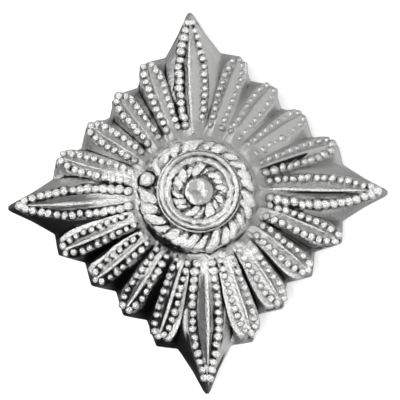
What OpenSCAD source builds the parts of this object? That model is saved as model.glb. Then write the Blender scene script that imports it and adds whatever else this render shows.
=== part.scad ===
// Rank insignia star: a struck metal star with four points, sixteen small rays,
// a roped boss, a hollow back and a split pin. Z = 0 is the plane of the back rim.

/* [Star outline] */
// Reach of the top and the bottom point from the centre
reach_ns = 10.76; // [9:0.01:14]
// Reach of the left and the right point from the centre
reach_ew = 10.49; // [9:0.01:14]
// Share of each straight side that belongs to a main point
main_share = 0.19; // [0.15:0.005:0.23]
// Thickness of the rim along the outline
rim_t = 0.4; // [0.3:0.05:0.6]

/* [Rays] */
// Radius at which the rays leave the ground around the boss
ray_start_r = 3.45; // [3.3:0.05:3.7]
// Height of the ray crests where they leave the boss
crest_in_z = 2.3; // [2:0.05:2.8]
// Height of the crest of a main point near its tip
point_end_z = 0.85; // [0.7:0.05:1.2]
// Height of the crest of a small ray near its end
small_end_z = 1; // [0.8:0.05:1.3]
// Height of the valleys where they leave the boss
valley_in_z = 1.9; // [1.75:0.05:2]
// Turn of the inner ends of the rays, clockwise seen from the front
swirl = -2; // [-4:0.5:4]

/* [Beads] */
// Diameter of a bead on a main point
point_bead_d = 0.44; // [0.3:0.01:0.46]
// Spacing of the beads along a main point
point_bead_pitch = 0.49; // [0.48:0.01:0.7]
// Diameter of a bead on a small ray
small_bead_d = 0.37; // [0.28:0.01:0.4]
// Spacing of the beads along a small ray
small_bead_pitch = 0.46; // [0.42:0.01:0.6]

/* [Boss] */
// Middle radius of the outer rope ring
rope_r = 2.72; // [2.6:0.01:2.8]
// Number of strands in the outer rope ring
rope_strands = 26; // [20:1:32]
// Outer radius of the smooth ring
ring_outer_r = 2.22; // [2.1:0.01:2.3]
// Width of the smooth ring
ring_w = 0.46; // [0.3:0.01:0.6]
// Height of the top of the smooth ring
ring_top_z = 2.95; // [2.8:0.05:3.2]
// Middle radius of the inner rope ring
inner_rope_r = 1.34; // [1.25:0.01:1.4]
// Number of strands in the inner rope ring
inner_rope_strands = 18; // [14:1:22]
// Radius of the centre button
button_r = 0.74; // [0.6:0.01:0.8]

/* [Back and pin] */
// Depth of the hollow back at its middle
hollow_depth = 1.5; // [1.4:0.05:1.6]
// Width of the flat rim from the straight side to the hollow
hollow_in = 1.35; // [1.2:0.05:1.8]
// Diameter of the soldered bar
bar_d = 0.5; // [0.4:0.05:0.6]
// Width of the pin's strip
pin_w = 1.4; // [1:0.1:1.8]
// Thickness of the pin's strip
pin_t = 0.28; // [0.2:0.02:0.3]
// Length of each leg from the middle of the bar
pin_leg = 5.2; // [3:0.1:5.4]

/* [Hidden] */
$fn = 32;

RAYS_A_SIDE = 4;
STEP = RAYS_A_SIDE + 1;
RAYS = 4 * STEP;
EPS = 0.01;

// The four straight sides, clockwise from the top point.
// Columns: depth of the notches, inset of the small tips.
NOTCH_IN = 0;
TIP_IN = 1;
SIDES = [
    [0.52, -0.1],
    [0.8, 0.04],
    [0.7, 0.02],
    [0.73, 0.12],
];

// Where the small tips stand along a side, as a share of its length.
SMALL_TIP_AT = [0.255, 0.42, 0.58, 0.745];

// Sections of a main point and of a small ray, from the boss outwards.
// Columns: share of the length, half widths at the shoulder, at the foot of the
// crest and at the crest, then the drop from the crest to the foot and the shoulder.
AT = 0;
W_SHOULDER = 1;
W_FOOT = 2;
W_CREST = 3;
FOOT_DROP = 4;
SHOULDER_DROP = 5;
POINT_SECTIONS = [
    [0.00, 0.44, 0.22, 0.08, 0.14, 0.22],
    [0.15, 0.74, 0.38, 0.10, 0.30, 0.44],
    [0.35, 0.93, 0.48, 0.10, 0.36, 0.54],
    [0.55, 0.90, 0.45, 0.10, 0.32, 0.50],
    [0.72, 0.64, 0.24, 0.08, 0.20, 0.36],
    [0.81, 0.40, 0.10, 0.06, 0.10, 0.22],
    [0.89, 0.18, 0.04, 0.03, 0.04, 0.10],
];
SMALL_SECTIONS = [
    [0.00, 0.40, 0.14, 0.06, 0.06, 0.20],
    [0.20, 0.50, 0.17, 0.07, 0.08, 0.26],
    [0.40, 0.57, 0.19, 0.08, 0.10, 0.30],
    [0.60, 0.62, 0.20, 0.09, 0.10, 0.32],
    [0.76, 0.62, 0.18, 0.08, 0.09, 0.30],
    [0.86, 0.52, 0.12, 0.05, 0.05, 0.24],
    [0.92, 0.34, 0.06, 0.03, 0.02, 0.14],
];
SECTIONS = len(POINT_SECTIONS);

function mix(a, b, t) = a + (b - a) * t;
function unit(v) = v / norm(v);
function polar(r, azimuth) = [r * sin(azimuth), r * cos(azimuth)];
function right_of(v) = [v[1], -v[0]];

// Places on the outline. A side runs clockwise from one main point to the next.
function corner(i) = [[0, reach_ns], [reach_ew, 0], [0, -reach_ns], [-reach_ew, 0]][i % 4];
function on_side(side, t, inset) =
    let (a = corner(side), b = corner(side + 1))
    mix(a, b, t) + unit(right_of(b - a)) * inset;
function side_of(ray) = floor((ray % RAYS) / STEP);
function is_point(ray) = ray % STEP == 0;
function tip(ray) =
    is_point(ray)
    ? corner(side_of(ray))
    : on_side(side_of(ray), SMALL_TIP_AT[ray % STEP - 1], SIDES[side_of(ray)][TIP_IN]);
function notch(ray) =
    let (k = (ray + RAYS) % RAYS, share = (1 - 2 * main_share) / RAYS_A_SIDE)
    on_side(side_of(k), main_share + share * (k % STEP), SIDES[side_of(k)][NOTCH_IN]);

// Lines from the boss to the outline: the crest of each ray, and the valley after it.
function ray_start(ray) = polar(ray_start_r, ray * 360 / RAYS + swirl);
function valley_start(ray) = polar(ray_start_r, (ray + 0.5) * 360 / RAYS + swirl);
function sections(ray) = is_point(ray) ? POINT_SECTIONS : SMALL_SECTIONS;
function crest_xy(ray, t) = mix(ray_start(ray), tip(ray), t);
function crest_z(ray, t) =
    let (last = sections(ray)[SECTIONS - 1][AT], end_z = is_point(ray) ? point_end_z : small_end_z)
    mix(crest_in_z, end_z, t / last);
function across(ray) = unit(right_of(tip(ray) - ray_start(ray)));
function at_height(xy, z) = [xy[0], xy[1], z];

// One row of the relief over one ray: the valley before it, then shoulder, foot
// and crest on one side, the middle, and crest, foot and shoulder on the other.
function ray_row(ray, j) =
    let (
        s = sections(ray)[j],
        t = s[AT],
        mid = crest_xy(ray, t),
        n = across(ray),
        z = crest_z(ray, t)
    )
    [
        at_height(mix(valley_start(ray - 1), notch(ray - 1), t), mix(valley_in_z, rim_t, t)),
        at_height(mid - n * s[W_SHOULDER], z - s[SHOULDER_DROP]),
        at_height(mid - n * s[W_FOOT], z - s[FOOT_DROP]),
        at_height(mid - n * s[W_CREST], z),
        at_height(mid, z),
        at_height(mid + n * s[W_CREST], z),
        at_height(mid + n * s[W_FOOT], z - s[FOOT_DROP]),
        at_height(mid + n * s[W_SHOULDER], z - s[SHOULDER_DROP]),
    ];

// The same columns where the ray comes down to the level ground around the boss.
GROUND_R = 3.25;
COLUMNS_A_RAY = 8;
function ground_row(ray) = [
    for (column = [0:COLUMNS_A_RAY - 1])
        let (turn = ray - 0.5 + column / COLUMNS_A_RAY)
        at_height(polar(GROUND_R, turn * 360 / RAYS + swirl), valley_in_z),
];

// The same columns on the outline, whose tips are a little blunt.
EDGE_SHARES = [0.42, 0.16, 0.05];
POINT_BLUNT = 0.04;
SMALL_BLUNT = 0.12;
function edge(ray, from, share) =
    let (bulge = (is_point(ray) ? POINT_BLUNT : SMALL_BLUNT) * sin(180 * share))
    mix(tip(ray), from, share) + unit(tip(ray) - ray_start(ray)) * bulge;
function outline_row(ray) = [
    notch(ray - 1),
    for (share = EDGE_SHARES) edge(ray, notch(ray - 1), share),
    tip(ray),
    for (i = [len(EDGE_SHARES) - 1:-1:0]) edge(ray, notch(ray), EDGE_SHARES[i]),
];

COLUMNS = COLUMNS_A_RAY * RAYS;
ROWS = SECTIONS + 3;
RELIEF_POINTS = [
    for (ray = [0:RAYS - 1]) each ground_row(ray),
    for (j = [0:SECTIONS - 1]) for (ray = [0:RAYS - 1]) each ray_row(ray, j),
    for (z = [rim_t, 0]) for (ray = [0:RAYS - 1]) for (p = outline_row(ray)) at_height(p, z),
    [0, 0, valley_in_z],
    [0, 0, 0],
];
function cell(j, i) = j * COLUMNS + i % COLUMNS;
RELIEF_FACES = [
    for (j = [0:ROWS - 2]) for (i = [0:COLUMNS - 1])
        each [
            [cell(j, i), cell(j + 1, i + 1), cell(j, i + 1)],
            [cell(j, i), cell(j + 1, i), cell(j + 1, i + 1)],
        ],
    for (i = [0:COLUMNS - 1]) [cell(0, i), cell(0, i + 1), ROWS * COLUMNS],
    for (i = [0:COLUMNS - 1]) [cell(ROWS - 1, i), ROWS * COLUMNS + 1, cell(ROWS - 1, i + 1)],
];

module relief() {
    polyhedron(points = RELIEF_POINTS, faces = RELIEF_FACES);
}

// Bead rows: one curve runs up one side of a ray, round its end and down the other.
function bead_w(s) = (s[W_SHOULDER] + s[W_FOOT]) / 2;
function bead_z(ray, s) = crest_z(ray, s[AT]) - (s[FOOT_DROP] + s[SHOULDER_DROP]) / 2;
function bead_stop(ray, s, side) =
    at_height(crest_xy(ray, s[AT]) + across(ray) * bead_w(s) * side, bead_z(ray, s));
function bead_curve(ray) =
    let (list = sections(ray))
    [
        for (j = [0:SECTIONS - 1]) bead_stop(ray, list[j], -1),
        for (j = [SECTIONS - 1:-1:0]) bead_stop(ray, list[j], 1),
    ];
function lengths(p, i = 0, sum = 0) =
    i == len(p) - 1 ? [sum] : concat([sum], lengths(p, i + 1, sum + norm(p[i + 1] - p[i])));
function bead_places(ray, pitch) =
    let (
        p = bead_curve(ray),
        run = lengths(p),
        total = run[len(run) - 1],
        n = round(total / pitch),
        axis = function (c) [for (i = [0:len(p) - 1]) [run[i], p[i][c]]],
        x = axis(0),
        y = axis(1),
        z = axis(2)
    )
    [for (k = [0:n]) let (d = total * k / n) [lookup(d, x), lookup(d, y), lookup(d, z)]];

BEAD_FN = 16;
module beads() {
    for (ray = [0:RAYS - 1]) {
        d = is_point(ray) ? point_bead_d : small_bead_d;
        pitch = is_point(ray) ? point_bead_pitch : small_bead_pitch;
        for (p = bead_places(ray, pitch))
            translate(p) sphere(d = d, $fn = BEAD_FN);
    }
}

// Rope rings: a round core wound with slanted strands, each a blunt spindle.
// Columns: middle radius, height and thickness of the core, number of strands,
// length and width of a strand.
ROPE_R = 0;
ROPE_Z = 1;
CORE_D = 2;
STRANDS = 3;
STRAND_LENGTH = 4;
STRAND_W = 5;
OUTER_ROPE = [rope_r, 2.1, 0.64, rope_strands, 0.98, 0.5];
INNER_ROPE = [inner_rope_r, 2.28, 0.56, inner_rope_strands, 0.78, 0.42];
ROPE_SLANT = -40;
// How far a strand stands above the middle of the core, as a share of its thickness.
STRAND_LIFT = 0.22;
// Columns of a strand's rings: place along its length, and width.
STRAND_SIDES = 6;
STRAND_RINGS = [
    [-0.5, 0.3],
    [-0.28, 0.85],
    [0, 1],
    [0.28, 0.85],
    [0.5, 0.3],
];
STRAND_POINTS = [
    for (ring = STRAND_RINGS) for (i = [0:STRAND_SIDES - 1])
        [ring[0], ring[1] * cos(360 * i / STRAND_SIDES) / 2, ring[1] * sin(360 * i / STRAND_SIDES) / 2],
];
STRAND_LAST = STRAND_SIDES * (len(STRAND_RINGS) - 1);
STRAND_FACES = [
    for (j = [0:len(STRAND_RINGS) - 2]) for (i = [0:STRAND_SIDES - 1])
        let (a = j * STRAND_SIDES, next = (i + 1) % STRAND_SIDES)
        [a + i, a + STRAND_SIDES + i, a + STRAND_SIDES + next, a + next],
    [for (i = [0:STRAND_SIDES - 1]) i],
    [for (i = [STRAND_SIDES - 1:-1:0]) STRAND_LAST + i],
];
function strand_points(length, width) =
    [for (p = STRAND_POINTS) [p[0] * length, p[1] * width, p[2] * width]];

BOSS_FN = 64;
module rope(size) {
    points = strand_points(size[STRAND_LENGTH], size[STRAND_W]);
    drum(size[ROPE_R], size[ROPE_Z]);
    translate([0, 0, size[ROPE_Z]]) {
        rotate_extrude($fn = BOSS_FN) translate([size[ROPE_R], 0]) circle(d = size[CORE_D]);
        for (i = [0:size[STRANDS] - 1])
            rotate(360 * i / size[STRANDS])
                translate([size[ROPE_R], 0, size[CORE_D] * STRAND_LIFT])
                    rotate(ROPE_SLANT)
                        polyhedron(points = points, faces = STRAND_FACES);
    }
}

// Solid metal under the boss starts above the roof of the hollow.
BOSS_Z = 1.7;
module drum(r, top) {
    translate([0, 0, BOSS_Z]) cylinder(r = r, h = top - BOSS_Z);
}

// The smooth ring: an upright band with a rounded top.
module smooth_ring() {
    shoulder_z = ring_top_z - ring_w / 2;
    rotate_extrude($fn = BOSS_FN)
        translate([ring_outer_r - ring_w, 0]) {
            translate([0, BOSS_Z]) square([ring_w, shoulder_z - BOSS_Z]);
            translate([ring_w / 2, shoulder_z]) circle(d = ring_w);
        }
}

// The button in the middle, with a shallow dent in its top.
BUTTON_Z = 2.65;
DENT_R = 0.6;
DENT_DEPTH = 0.12;
module button() {
    difference() {
        drum(button_r, BUTTON_Z);
        translate([0, 0, BUTTON_Z + DENT_R - DENT_DEPTH]) sphere(r = DENT_R);
    }
}

// The boss: outer rope, smooth ring, inner rope and button, all struck in one.
RECESS_Z = 2.15;
module boss() {
    rope(OUTER_ROPE);
    drum(ring_outer_r, RECESS_Z);
    smooth_ring();
    rope(INNER_ROPE);
    button();
}

// The hollow of the back: the outline's diamond, drawn in and narrowing upwards.
HOLLOW_TOP = 0.3;
module hollow() {
    reach = [reach_ew, reach_ns];
    side = norm(reach);
    shrink = 1 - hollow_in * side / (reach[0] * reach[1]);
    inner = [reach[0] * shrink, reach[1] * shrink];
    translate([0, 0, -EPS])
        linear_extrude(height = hollow_depth + EPS, scale = HOLLOW_TOP)
            polygon([[0, inner[1]], [inner[0], 0], [0, -inner[1]], [-inner[0], 0]]);
}

// A straight bar across the hollow on two posts, soldered in.
BAR_Z = 0.72;
POST_X = 1.3;
module bar() {
    translate([-POST_X, 0, BAR_Z]) rotate([0, 90, 0]) cylinder(d = bar_d, h = 2 * POST_X);
    for (x = [-POST_X, POST_X])
        translate([x, 0, BAR_Z]) cylinder(d = bar_d, h = hollow_depth);
}

module star() {
    color("silver") {
        union() {
            difference() {
                relief();
                hollow();
            }
            bar();
            boss();
        }
        beads();
    }
}

// The pin seen from the side: a loop over the bar, and two legs bent out flat.
PIN_GAP = 0.1;
LEG_Z = 0.12;
LOOP_FN = 48;
module pin_profile() {
    inner = bar_d / 2 + PIN_GAP;
    outer = inner + pin_t;
    difference() {
        union() {
            translate([0, BAR_Z]) circle(r = outer, $fn = LOOP_FN);
            translate([-outer, LEG_Z]) square([2 * outer, BAR_Z - LEG_Z]);
            translate([-pin_leg, LEG_Z]) square([2 * pin_leg, pin_t]);
        }
        translate([0, BAR_Z]) circle(r = inner, $fn = LOOP_FN);
        translate([-inner, 0]) square([2 * inner, BAR_Z]);
    }
}

module split_pin() {
    color("goldenrod")
        translate([-pin_w / 2, 0, 0])
            rotate([90, 0, 90])
                linear_extrude(height = pin_w)
                    pin_profile();
}

star();
split_pin();
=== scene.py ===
"""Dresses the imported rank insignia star: its struck relief, its silver finish and a studio."""

import logging
import math
import random
from dataclasses import dataclass, field
from enum import Enum
from typing import Callable, Iterable, NamedTuple

import bmesh
import bpy
import numpy as np
from mathutils import Euler, Matrix, Vector, noise
from mathutils.bvhtree import BVHTree
from mathutils.kdtree import KDTree


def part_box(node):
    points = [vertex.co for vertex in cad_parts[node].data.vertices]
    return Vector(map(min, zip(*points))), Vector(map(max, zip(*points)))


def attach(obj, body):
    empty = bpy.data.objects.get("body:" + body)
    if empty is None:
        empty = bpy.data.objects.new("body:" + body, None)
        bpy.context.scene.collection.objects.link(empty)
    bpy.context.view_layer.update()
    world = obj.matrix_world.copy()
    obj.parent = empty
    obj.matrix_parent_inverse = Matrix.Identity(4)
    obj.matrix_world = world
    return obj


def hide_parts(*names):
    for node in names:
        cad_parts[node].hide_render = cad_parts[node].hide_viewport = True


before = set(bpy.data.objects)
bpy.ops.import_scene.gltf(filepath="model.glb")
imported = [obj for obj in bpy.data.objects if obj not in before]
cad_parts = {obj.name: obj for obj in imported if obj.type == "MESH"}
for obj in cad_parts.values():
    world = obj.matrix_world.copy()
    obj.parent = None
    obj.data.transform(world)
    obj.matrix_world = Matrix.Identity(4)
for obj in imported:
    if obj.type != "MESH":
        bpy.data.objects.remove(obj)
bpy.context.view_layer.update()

# Short names for what is handed around: a piece, a node's socket, shader groups, a group's inputs
Piece = bpy.types.Object
Socket = bpy.types.NodeSocket
Groups = dict[str, bpy.types.NodeTree]
Given = Callable[[str], Socket]

MM = 0.001
# Vertices that are nearer to each other than this are merged
WELD = 1e-4 * MM
# Middle of the outer rope and its foot, which lie a little to the left of the points' middle
ROPE_CENTRE = (-0.1, -0.14)
# Radius and bearing of the drop of metal that lies on the outer rope
DROP_PLACE = (2.92, 285.5)
# Degrees over which the sides of a sector fade out
SECTOR_FADE = 12.0
# Height in millimetres above which the die's dents start, and how fast they grow from there
DENTED_ABOVE = 0.42
DENTS_STEEPNESS = 10
# How far apart the dents of two seeds lie in the endless pattern
SEED_STEPS = (3.7, 1.3, 5.1)
# How much finer the small dents are than the wide ones, and how deep beside them
FINER_DENTS = 2.3
FINER_SHARE = 0.5
LOG = logging.getLogger("rank_star")


class Cut(Enum):
    """How a boolean modifier joins one closed piece with others."""

    FUSE = "UNION"
    SUBTRACT = "DIFFERENCE"


class Part(Enum):
    """What can be picked of a mesh: Blender's name for the mode, and for the list."""

    VERTICES = ("VERT", "verts")
    EDGES = ("EDGE", "edges")
    FACES = ("FACE", "faces")


# Tools that every piece is made with


def deselect_all() -> None:
    """Leaves object mode with nothing selected."""
    if bpy.context.object and bpy.context.object.mode != "OBJECT":
        bpy.ops.object.mode_set(mode="OBJECT")
    bpy.ops.object.select_all(action="DESELECT")


def select_only(piece: Piece) -> None:
    """Makes one piece the active and only selected object.

    Args:
        piece: The object to select.
    """
    deselect_all()
    piece.select_set(True)
    bpy.context.view_layer.objects.active = piece


def named(name: str) -> Piece:
    """Names the object that an operator has just added.

    Args:
        name: Plain name for the object and its mesh.

    Returns:
        The active object.
    """
    piece = bpy.context.object
    piece.name = name
    piece.data.name = name
    return piece


def add(primitive: Callable[..., object], name: str, **sizes: object) -> Piece:
    """Adds a primitive with nothing else selected.

    Args:
        primitive: The operator that adds it.
        name: Plain name for the object and its mesh.
        sizes: What the operator is told.

    Returns:
        The new object.
    """
    deselect_all()
    primitive(**sizes)
    return named(name)


def settle(piece: Piece) -> Piece:
    """Puts a piece's place, turn and scale into its mesh.

    Args:
        piece: The object to settle.

    Returns:
        The same object, at the origin.
    """
    select_only(piece)
    bpy.ops.object.transform_apply(location=True, rotation=True, scale=True)
    return piece


def discard(piece: Piece) -> None:
    """Deletes a piece together with its mesh.

    Args:
        piece: The object that isn't needed any more.
    """
    mesh = piece.data
    bpy.data.objects.remove(piece)
    bpy.data.meshes.remove(mesh)


def edit(piece: Piece, *steps: Callable[[], object]) -> Piece:
    """Runs operators on a piece in edit mode.

    Args:
        piece: The object to edit.
        steps: Functions that each select something or run an operator.

    Returns:
        The same object, back in object mode.
    """
    select_only(piece)
    bpy.ops.object.mode_set(mode="EDIT")
    for step in steps:
        step()
    bpy.ops.object.mode_set(mode="OBJECT")
    return piece


def pick(part: Part, test: Callable[..., bool] = lambda item: True) -> None:
    """Selects what passes a test in the mesh in edit mode, and nothing else.

    Args:
        part: Whether vertices, edges or faces are picked.
        test: Says whether one of them is wanted; all are where it is left out.
    """
    mode, name = part.value
    bpy.ops.mesh.select_mode(type=mode)
    bpy.ops.mesh.select_all(action="DESELECT")
    mesh = bmesh.from_edit_mesh(bpy.context.object.data)
    for item in getattr(mesh, name):
        if test(item):
            item.select_set(True)
    bmesh.update_edit_mesh(bpy.context.object.data)


def keep_outline() -> None:
    """Takes the faces of a flat section away in edit mode and leaves its outline selected."""
    pick(Part.FACES)
    bpy.ops.mesh.delete(type="ONLY_FACE")
    pick(Part.EDGES)


def cap_ends() -> None:
    """Closes every open end of the mesh in edit mode with a face."""
    pick(Part.EDGES, lambda line: line.is_boundary)
    bpy.ops.mesh.fill_holes(sides=0)


def weld() -> None:
    """Merges the vertices that lie on each other in the whole mesh in edit mode."""
    bpy.ops.mesh.select_all(action="SELECT")
    bpy.ops.mesh.remove_doubles(threshold=WELD)


def face_outwards() -> None:
    """Turns all the faces of the mesh in edit mode outwards."""
    bpy.ops.mesh.select_all(action="SELECT")
    bpy.ops.mesh.normals_make_consistent(inside=False)


def apply_all(piece: Piece) -> Piece:
    """Applies every modifier of a piece, in order.

    Args:
        piece: The object with the modifiers.

    Returns:
        The same object.
    """
    select_only(piece)
    for modifier in list(piece.modifiers):
        bpy.ops.object.modifier_apply(modifier=modifier.name)
    return piece


def subdivide(piece: Piece, levels: int) -> Piece:
    """Rounds a cage with an applied subdivision surface.

    Args:
        piece: The cage.
        levels: How many times its faces are divided.

    Returns:
        The same object.
    """
    smooth = piece.modifiers.new("round", "SUBSURF")
    smooth.levels = levels
    smooth.render_levels = levels
    return apply_all(piece)


def smooth_shade(piece: Piece, degrees: float) -> None:
    """Shades a piece smoothly, but for edges that are sharper than an angle in degrees."""
    select_only(piece)
    bpy.ops.object.shade_smooth_by_angle(angle=math.radians(degrees))


def join(pieces: list[Piece], name: str) -> Piece:
    """Joins pieces into one object.

    Args:
        pieces: The objects to join; the first keeps its place.
        name: Name of the joined object.

    Returns:
        The joined object.
    """
    select_only(pieces[0])
    for piece in pieces:
        piece.select_set(True)
    bpy.ops.object.join()
    return named(name)


def combine(base: Piece, others: Iterable[Piece], how: Cut) -> None:
    """Fuses closed pieces to a base, or cuts them out of it.

    Args:
        base: The piece that is changed and keeps its name.
        others: Closed pieces, which are used up.
        how: Whether they are fused or subtracted.
    """
    others = list(others)
    group = bpy.data.collections.new("to_combine")
    bpy.context.scene.collection.children.link(group)
    for piece in others:
        group.objects.link(piece)
    modifier = base.modifiers.new("combine", "BOOLEAN")
    modifier.operation = how.value
    modifier.solver = "MANIFOLD"
    modifier.operand_type = "COLLECTION"
    modifier.collection = group
    apply_all(base)
    for piece in others:
        discard(piece)
    bpy.data.collections.remove(group)


class Dents(NamedTuple):
    """Unevenness of a die: how deep and how wide it is, in millimetres, and which pattern."""

    amount: float
    size: float
    seed: int


def roughen(piece: Piece, dents: Dents) -> Piece:
    """Moves a piece's upper faces in and out a little, as hand-chased dies leave them.

    Args:
        piece: The piece, whose places are in its mesh.
        dents: The unevenness.

    Returns:
        The same piece.
    """
    shift = Vector([dents.seed * step for step in SEED_STEPS])
    moves = []
    for vertex in piece.data.vertices:
        place = vertex.co / MM / dents.size + shift
        level = noise.noise(place) + FINER_SHARE * noise.noise(place * FINER_DENTS + shift)
        on_top = min(max(vertex.co.z / MM - DENTED_ABOVE, 0.0) * DENTS_STEEPNESS, 1.0)
        moves.append(vertex.normal * level * dents.amount * on_top * MM)
    for vertex, move in zip(piece.data.vertices, moves):
        vertex.co += move
    return piece


def polar(radius: float, azimuth: float, height: float = 0.0) -> Vector:
    """A point at a radius and an azimuth in degrees, clockwise from the top point."""
    turn = math.radians(azimuth)
    return Vector((radius * math.sin(turn), radius * math.cos(turn), height))


def ramp(values: np.ndarray, start: float, full: float) -> np.ndarray:
    """Rises evenly with the values, from 0 at the start to 1 where it is full."""
    return np.clip((values - start) / (full - start), 0, 1)


# The star's outline and the lines of its relief, in millimetres as its sizes are read


class Side(NamedTuple):
    """One straight side between two main points."""

    notch_in: float
    tip_in: float


class Section(NamedTuple):
    """One section across a ray: place along it, half widths, and drops from the crest."""

    at: float
    shoulder: float
    foot: float
    crest: float
    foot_drop: float
    shoulder_drop: float


@dataclass(frozen=True)
class StarLayout:
    """Where every ray, valley and notch of the star lies.

    Rays are counted clockwise from the top point, and every fifth one is a main point.
    """

    reach_x: float
    reach_y: float
    main_share: float = 0.19
    small_tips: tuple[float, ...] = (0.255, 0.42, 0.58, 0.745)
    sides: tuple[Side, ...] = (
        Side(0.52, -0.1), Side(0.8, 0.04), Side(0.7, 0.02), Side(0.73, 0.12),
    )
    rim: float = 0.2
    ground_radius: float = 3.25
    start_radius: float = 3.45
    crest_in_z: float = 2.36
    fade_in_drop: float = 0.38
    fade_in_share: float = 0.2
    valley_in_z: float = 1.9
    point_end_z: float = 0.85
    small_end_z: float = 1.0
    swirl: float = -2.0
    valley_shift: float = 0.28
    valley_bend: float = 1.5
    valley_power: float = 1.35
    soft_azimuth: float = 44.0
    soft_reach: float = 31.0
    soft_relief: float = 0.45
    soft_valley: float = 0.22
    broad_rays: tuple[int, ...] = (11, 12, 13, 14)
    broad_crest: float = 2.2
    ridge_lean: float = 0.32
    right_ridge_lean: float = -0.13
    point_sections: tuple[Section, ...] = (
        Section(0.00, 0.44, 0.22, 0.04, 0.04, 0.08),
        Section(0.15, 0.74, 0.38, 0.04, 0.22, 0.30),
        Section(0.35, 0.93, 0.48, 0.04, 0.36, 0.46),
        Section(0.55, 0.90, 0.45, 0.04, 0.32, 0.42),
        Section(0.72, 0.66, 0.26, 0.04, 0.20, 0.30),
        Section(0.82, 0.42, 0.12, 0.03, 0.10, 0.18),
        Section(0.91, 0.20, 0.04, 0.02, 0.04, 0.10),
    )
    small_sections: tuple[Section, ...] = (
        Section(0.00, 0.40, 0.18, 0.02, 0.03, 0.08),
        Section(0.20, 0.50, 0.20, 0.03, 0.12, 0.22),
        Section(0.40, 0.58, 0.23, 0.03, 0.16, 0.26),
        Section(0.60, 0.65, 0.25, 0.03, 0.18, 0.28),
        Section(0.74, 0.68, 0.20, 0.03, 0.14, 0.26),
        Section(0.84, 0.64, 0.07, 0.02, 0.04, 0.18),
        Section(0.925, 0.44, 0.05, 0.02, 0.01, 0.10),
    )

    @property
    def step(self) -> int:
        """Rays from one main point to the next."""
        return len(self.small_tips) + 1

    @property
    def rays(self) -> int:
        """Number of rays in all."""
        return len(self.sides) * self.step

    def softness(self, place: Vector, more: float = 0.0) -> float:
        """How softly the die struck at a place: the rays at the upper right are soft.

        Args:
            place: The place, in millimetres.
            more: Degrees by which the soft sector is widened on both sides.

        Returns:
            A share from 0 to 1.
        """
        turn = math.degrees(math.atan2(place.x, place.y)) - self.soft_azimuth
        return min(max((self.soft_reach + more - abs(turn)) / SECTOR_FADE, 0.0), 1.0)

    def ridge_shift(self, ray: int, foot: float) -> float:
        """How far a ridge lies counterclockwise of its ray's middle, where foot is half its width."""
        return foot * (self.right_ridge_lean if ray % self.rays == self.step else self.ridge_lean)

    def is_point(self, ray: int) -> bool:
        """Whether a ray is one of the main points."""
        return ray % self.step == 0

    def sections(self, ray: int) -> tuple[Section, ...]:
        """The sections of a ray, flatter where the die struck softly.

        Args:
            ray: Which ray.

        Returns:
            The sections from the boss outwards.
        """
        table = self.point_sections if self.is_point(ray) else self.small_sections
        flat = 1 - self.soft_relief * self.softness(polar(1, ray * 360 / self.rays))
        broad = self.broad_crest if ray % self.rays in self.broad_rays else 1.0
        return tuple(section._replace(
            crest=section.crest * broad, foot_drop=section.foot_drop * flat,
            shoulder_drop=section.shoulder_drop * flat,
        ) for section in table)

    def corner(self, index: int) -> Vector:
        """The tip of a main point, counted clockwise from the top."""
        return Vector((
            (0, self.reach_y, 0), (self.reach_x, 0, 0), (0, -self.reach_y, 0), (-self.reach_x, 0, 0),
        )[index % 4])

    def on_side(self, side: int, share: float, inset: float) -> Vector:
        """A place on a straight side.

        Args:
            side: Which side, clockwise from the top point.
            share: How far along it, from 0 to 1.
            inset: How far inside it, in millimetres.

        Returns:
            The place, in the plane of the rim.
        """
        start, end = self.corner(side), self.corner(side + 1)
        run = (end - start).normalized()
        return start.lerp(end, share) + Vector((run.y, -run.x, 0)) * inset

    def tip(self, ray: int) -> Vector:
        """The outermost place of a ray.

        Args:
            ray: Which ray.

        Returns:
            The place, in the plane of the rim.
        """
        side = (ray % self.rays) // self.step
        if self.is_point(ray):
            return self.corner(side)
        return self.on_side(side, self.small_tips[ray % self.step - 1], self.sides[side].tip_in)

    def notch(self, ray: int) -> Vector:
        """The notch in the outline after a ray.

        Args:
            ray: Which ray.

        Returns:
            The place, in the plane of the rim.
        """
        ray %= self.rays
        side = ray // self.step
        share = (1 - 2 * self.main_share) / len(self.small_tips)
        return self.on_side(side, self.main_share + share * (ray % self.step), self.sides[side].notch_in)

    def ray_start(self, ray: float) -> Vector:
        """Where a ray leaves the ground around the boss; a half ray is a valley."""
        return polar(self.start_radius, ray * 360 / self.rays + self.swirl)

    def across(self, ray: int) -> Vector:
        """The level direction across a ray, clockwise."""
        run = (self.tip(ray) - self.ray_start(ray)).normalized()
        return Vector((run.y, -run.x, 0))

    def crest(self, ray: int, at: float) -> Vector:
        """A place on the crest line of a ray.

        Args:
            ray: Which ray.
            at: How far along it, from 0 to 1.

        Returns:
            The place, in millimetres.
        """
        end_z = self.point_end_z if self.is_point(ray) else self.small_end_z
        share = at / self.sections(ray)[-1].at
        place = self.ray_start(ray).lerp(self.tip(ray), at)
        fade_in = max(0.0, 1 - at / self.fade_in_share)
        place.z = self.crest_in_z + (end_z - self.crest_in_z) * share - self.fade_in_drop * fade_in ** 2
        return place

    def valley(self, ray: int, at: float) -> Vector:
        """A place on the valley line after a ray.

        Args:
            ray: Which ray.
            at: How far along the valley, from 0 to 1.

        Returns:
            The place, in millimetres.
        """
        place = self.ray_start(ray + 0.5).lerp(self.notch(ray), at)
        hand = {0: 1, self.step - 1: -1}.get(ray % self.step, 0)
        turn = (ray + 0.5) * 360 / self.rays + self.swirl
        bend = math.sin(math.pi * at ** self.valley_bend)
        place += polar(self.valley_shift * hand * bend, turn + 90)
        place.z = self.valley_in_z + (self.rim - self.valley_in_z) * at ** self.valley_power
        place.z += self.soft_valley * self.softness(polar(1, turn)) * math.sin(math.pi * at)
        return place


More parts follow.
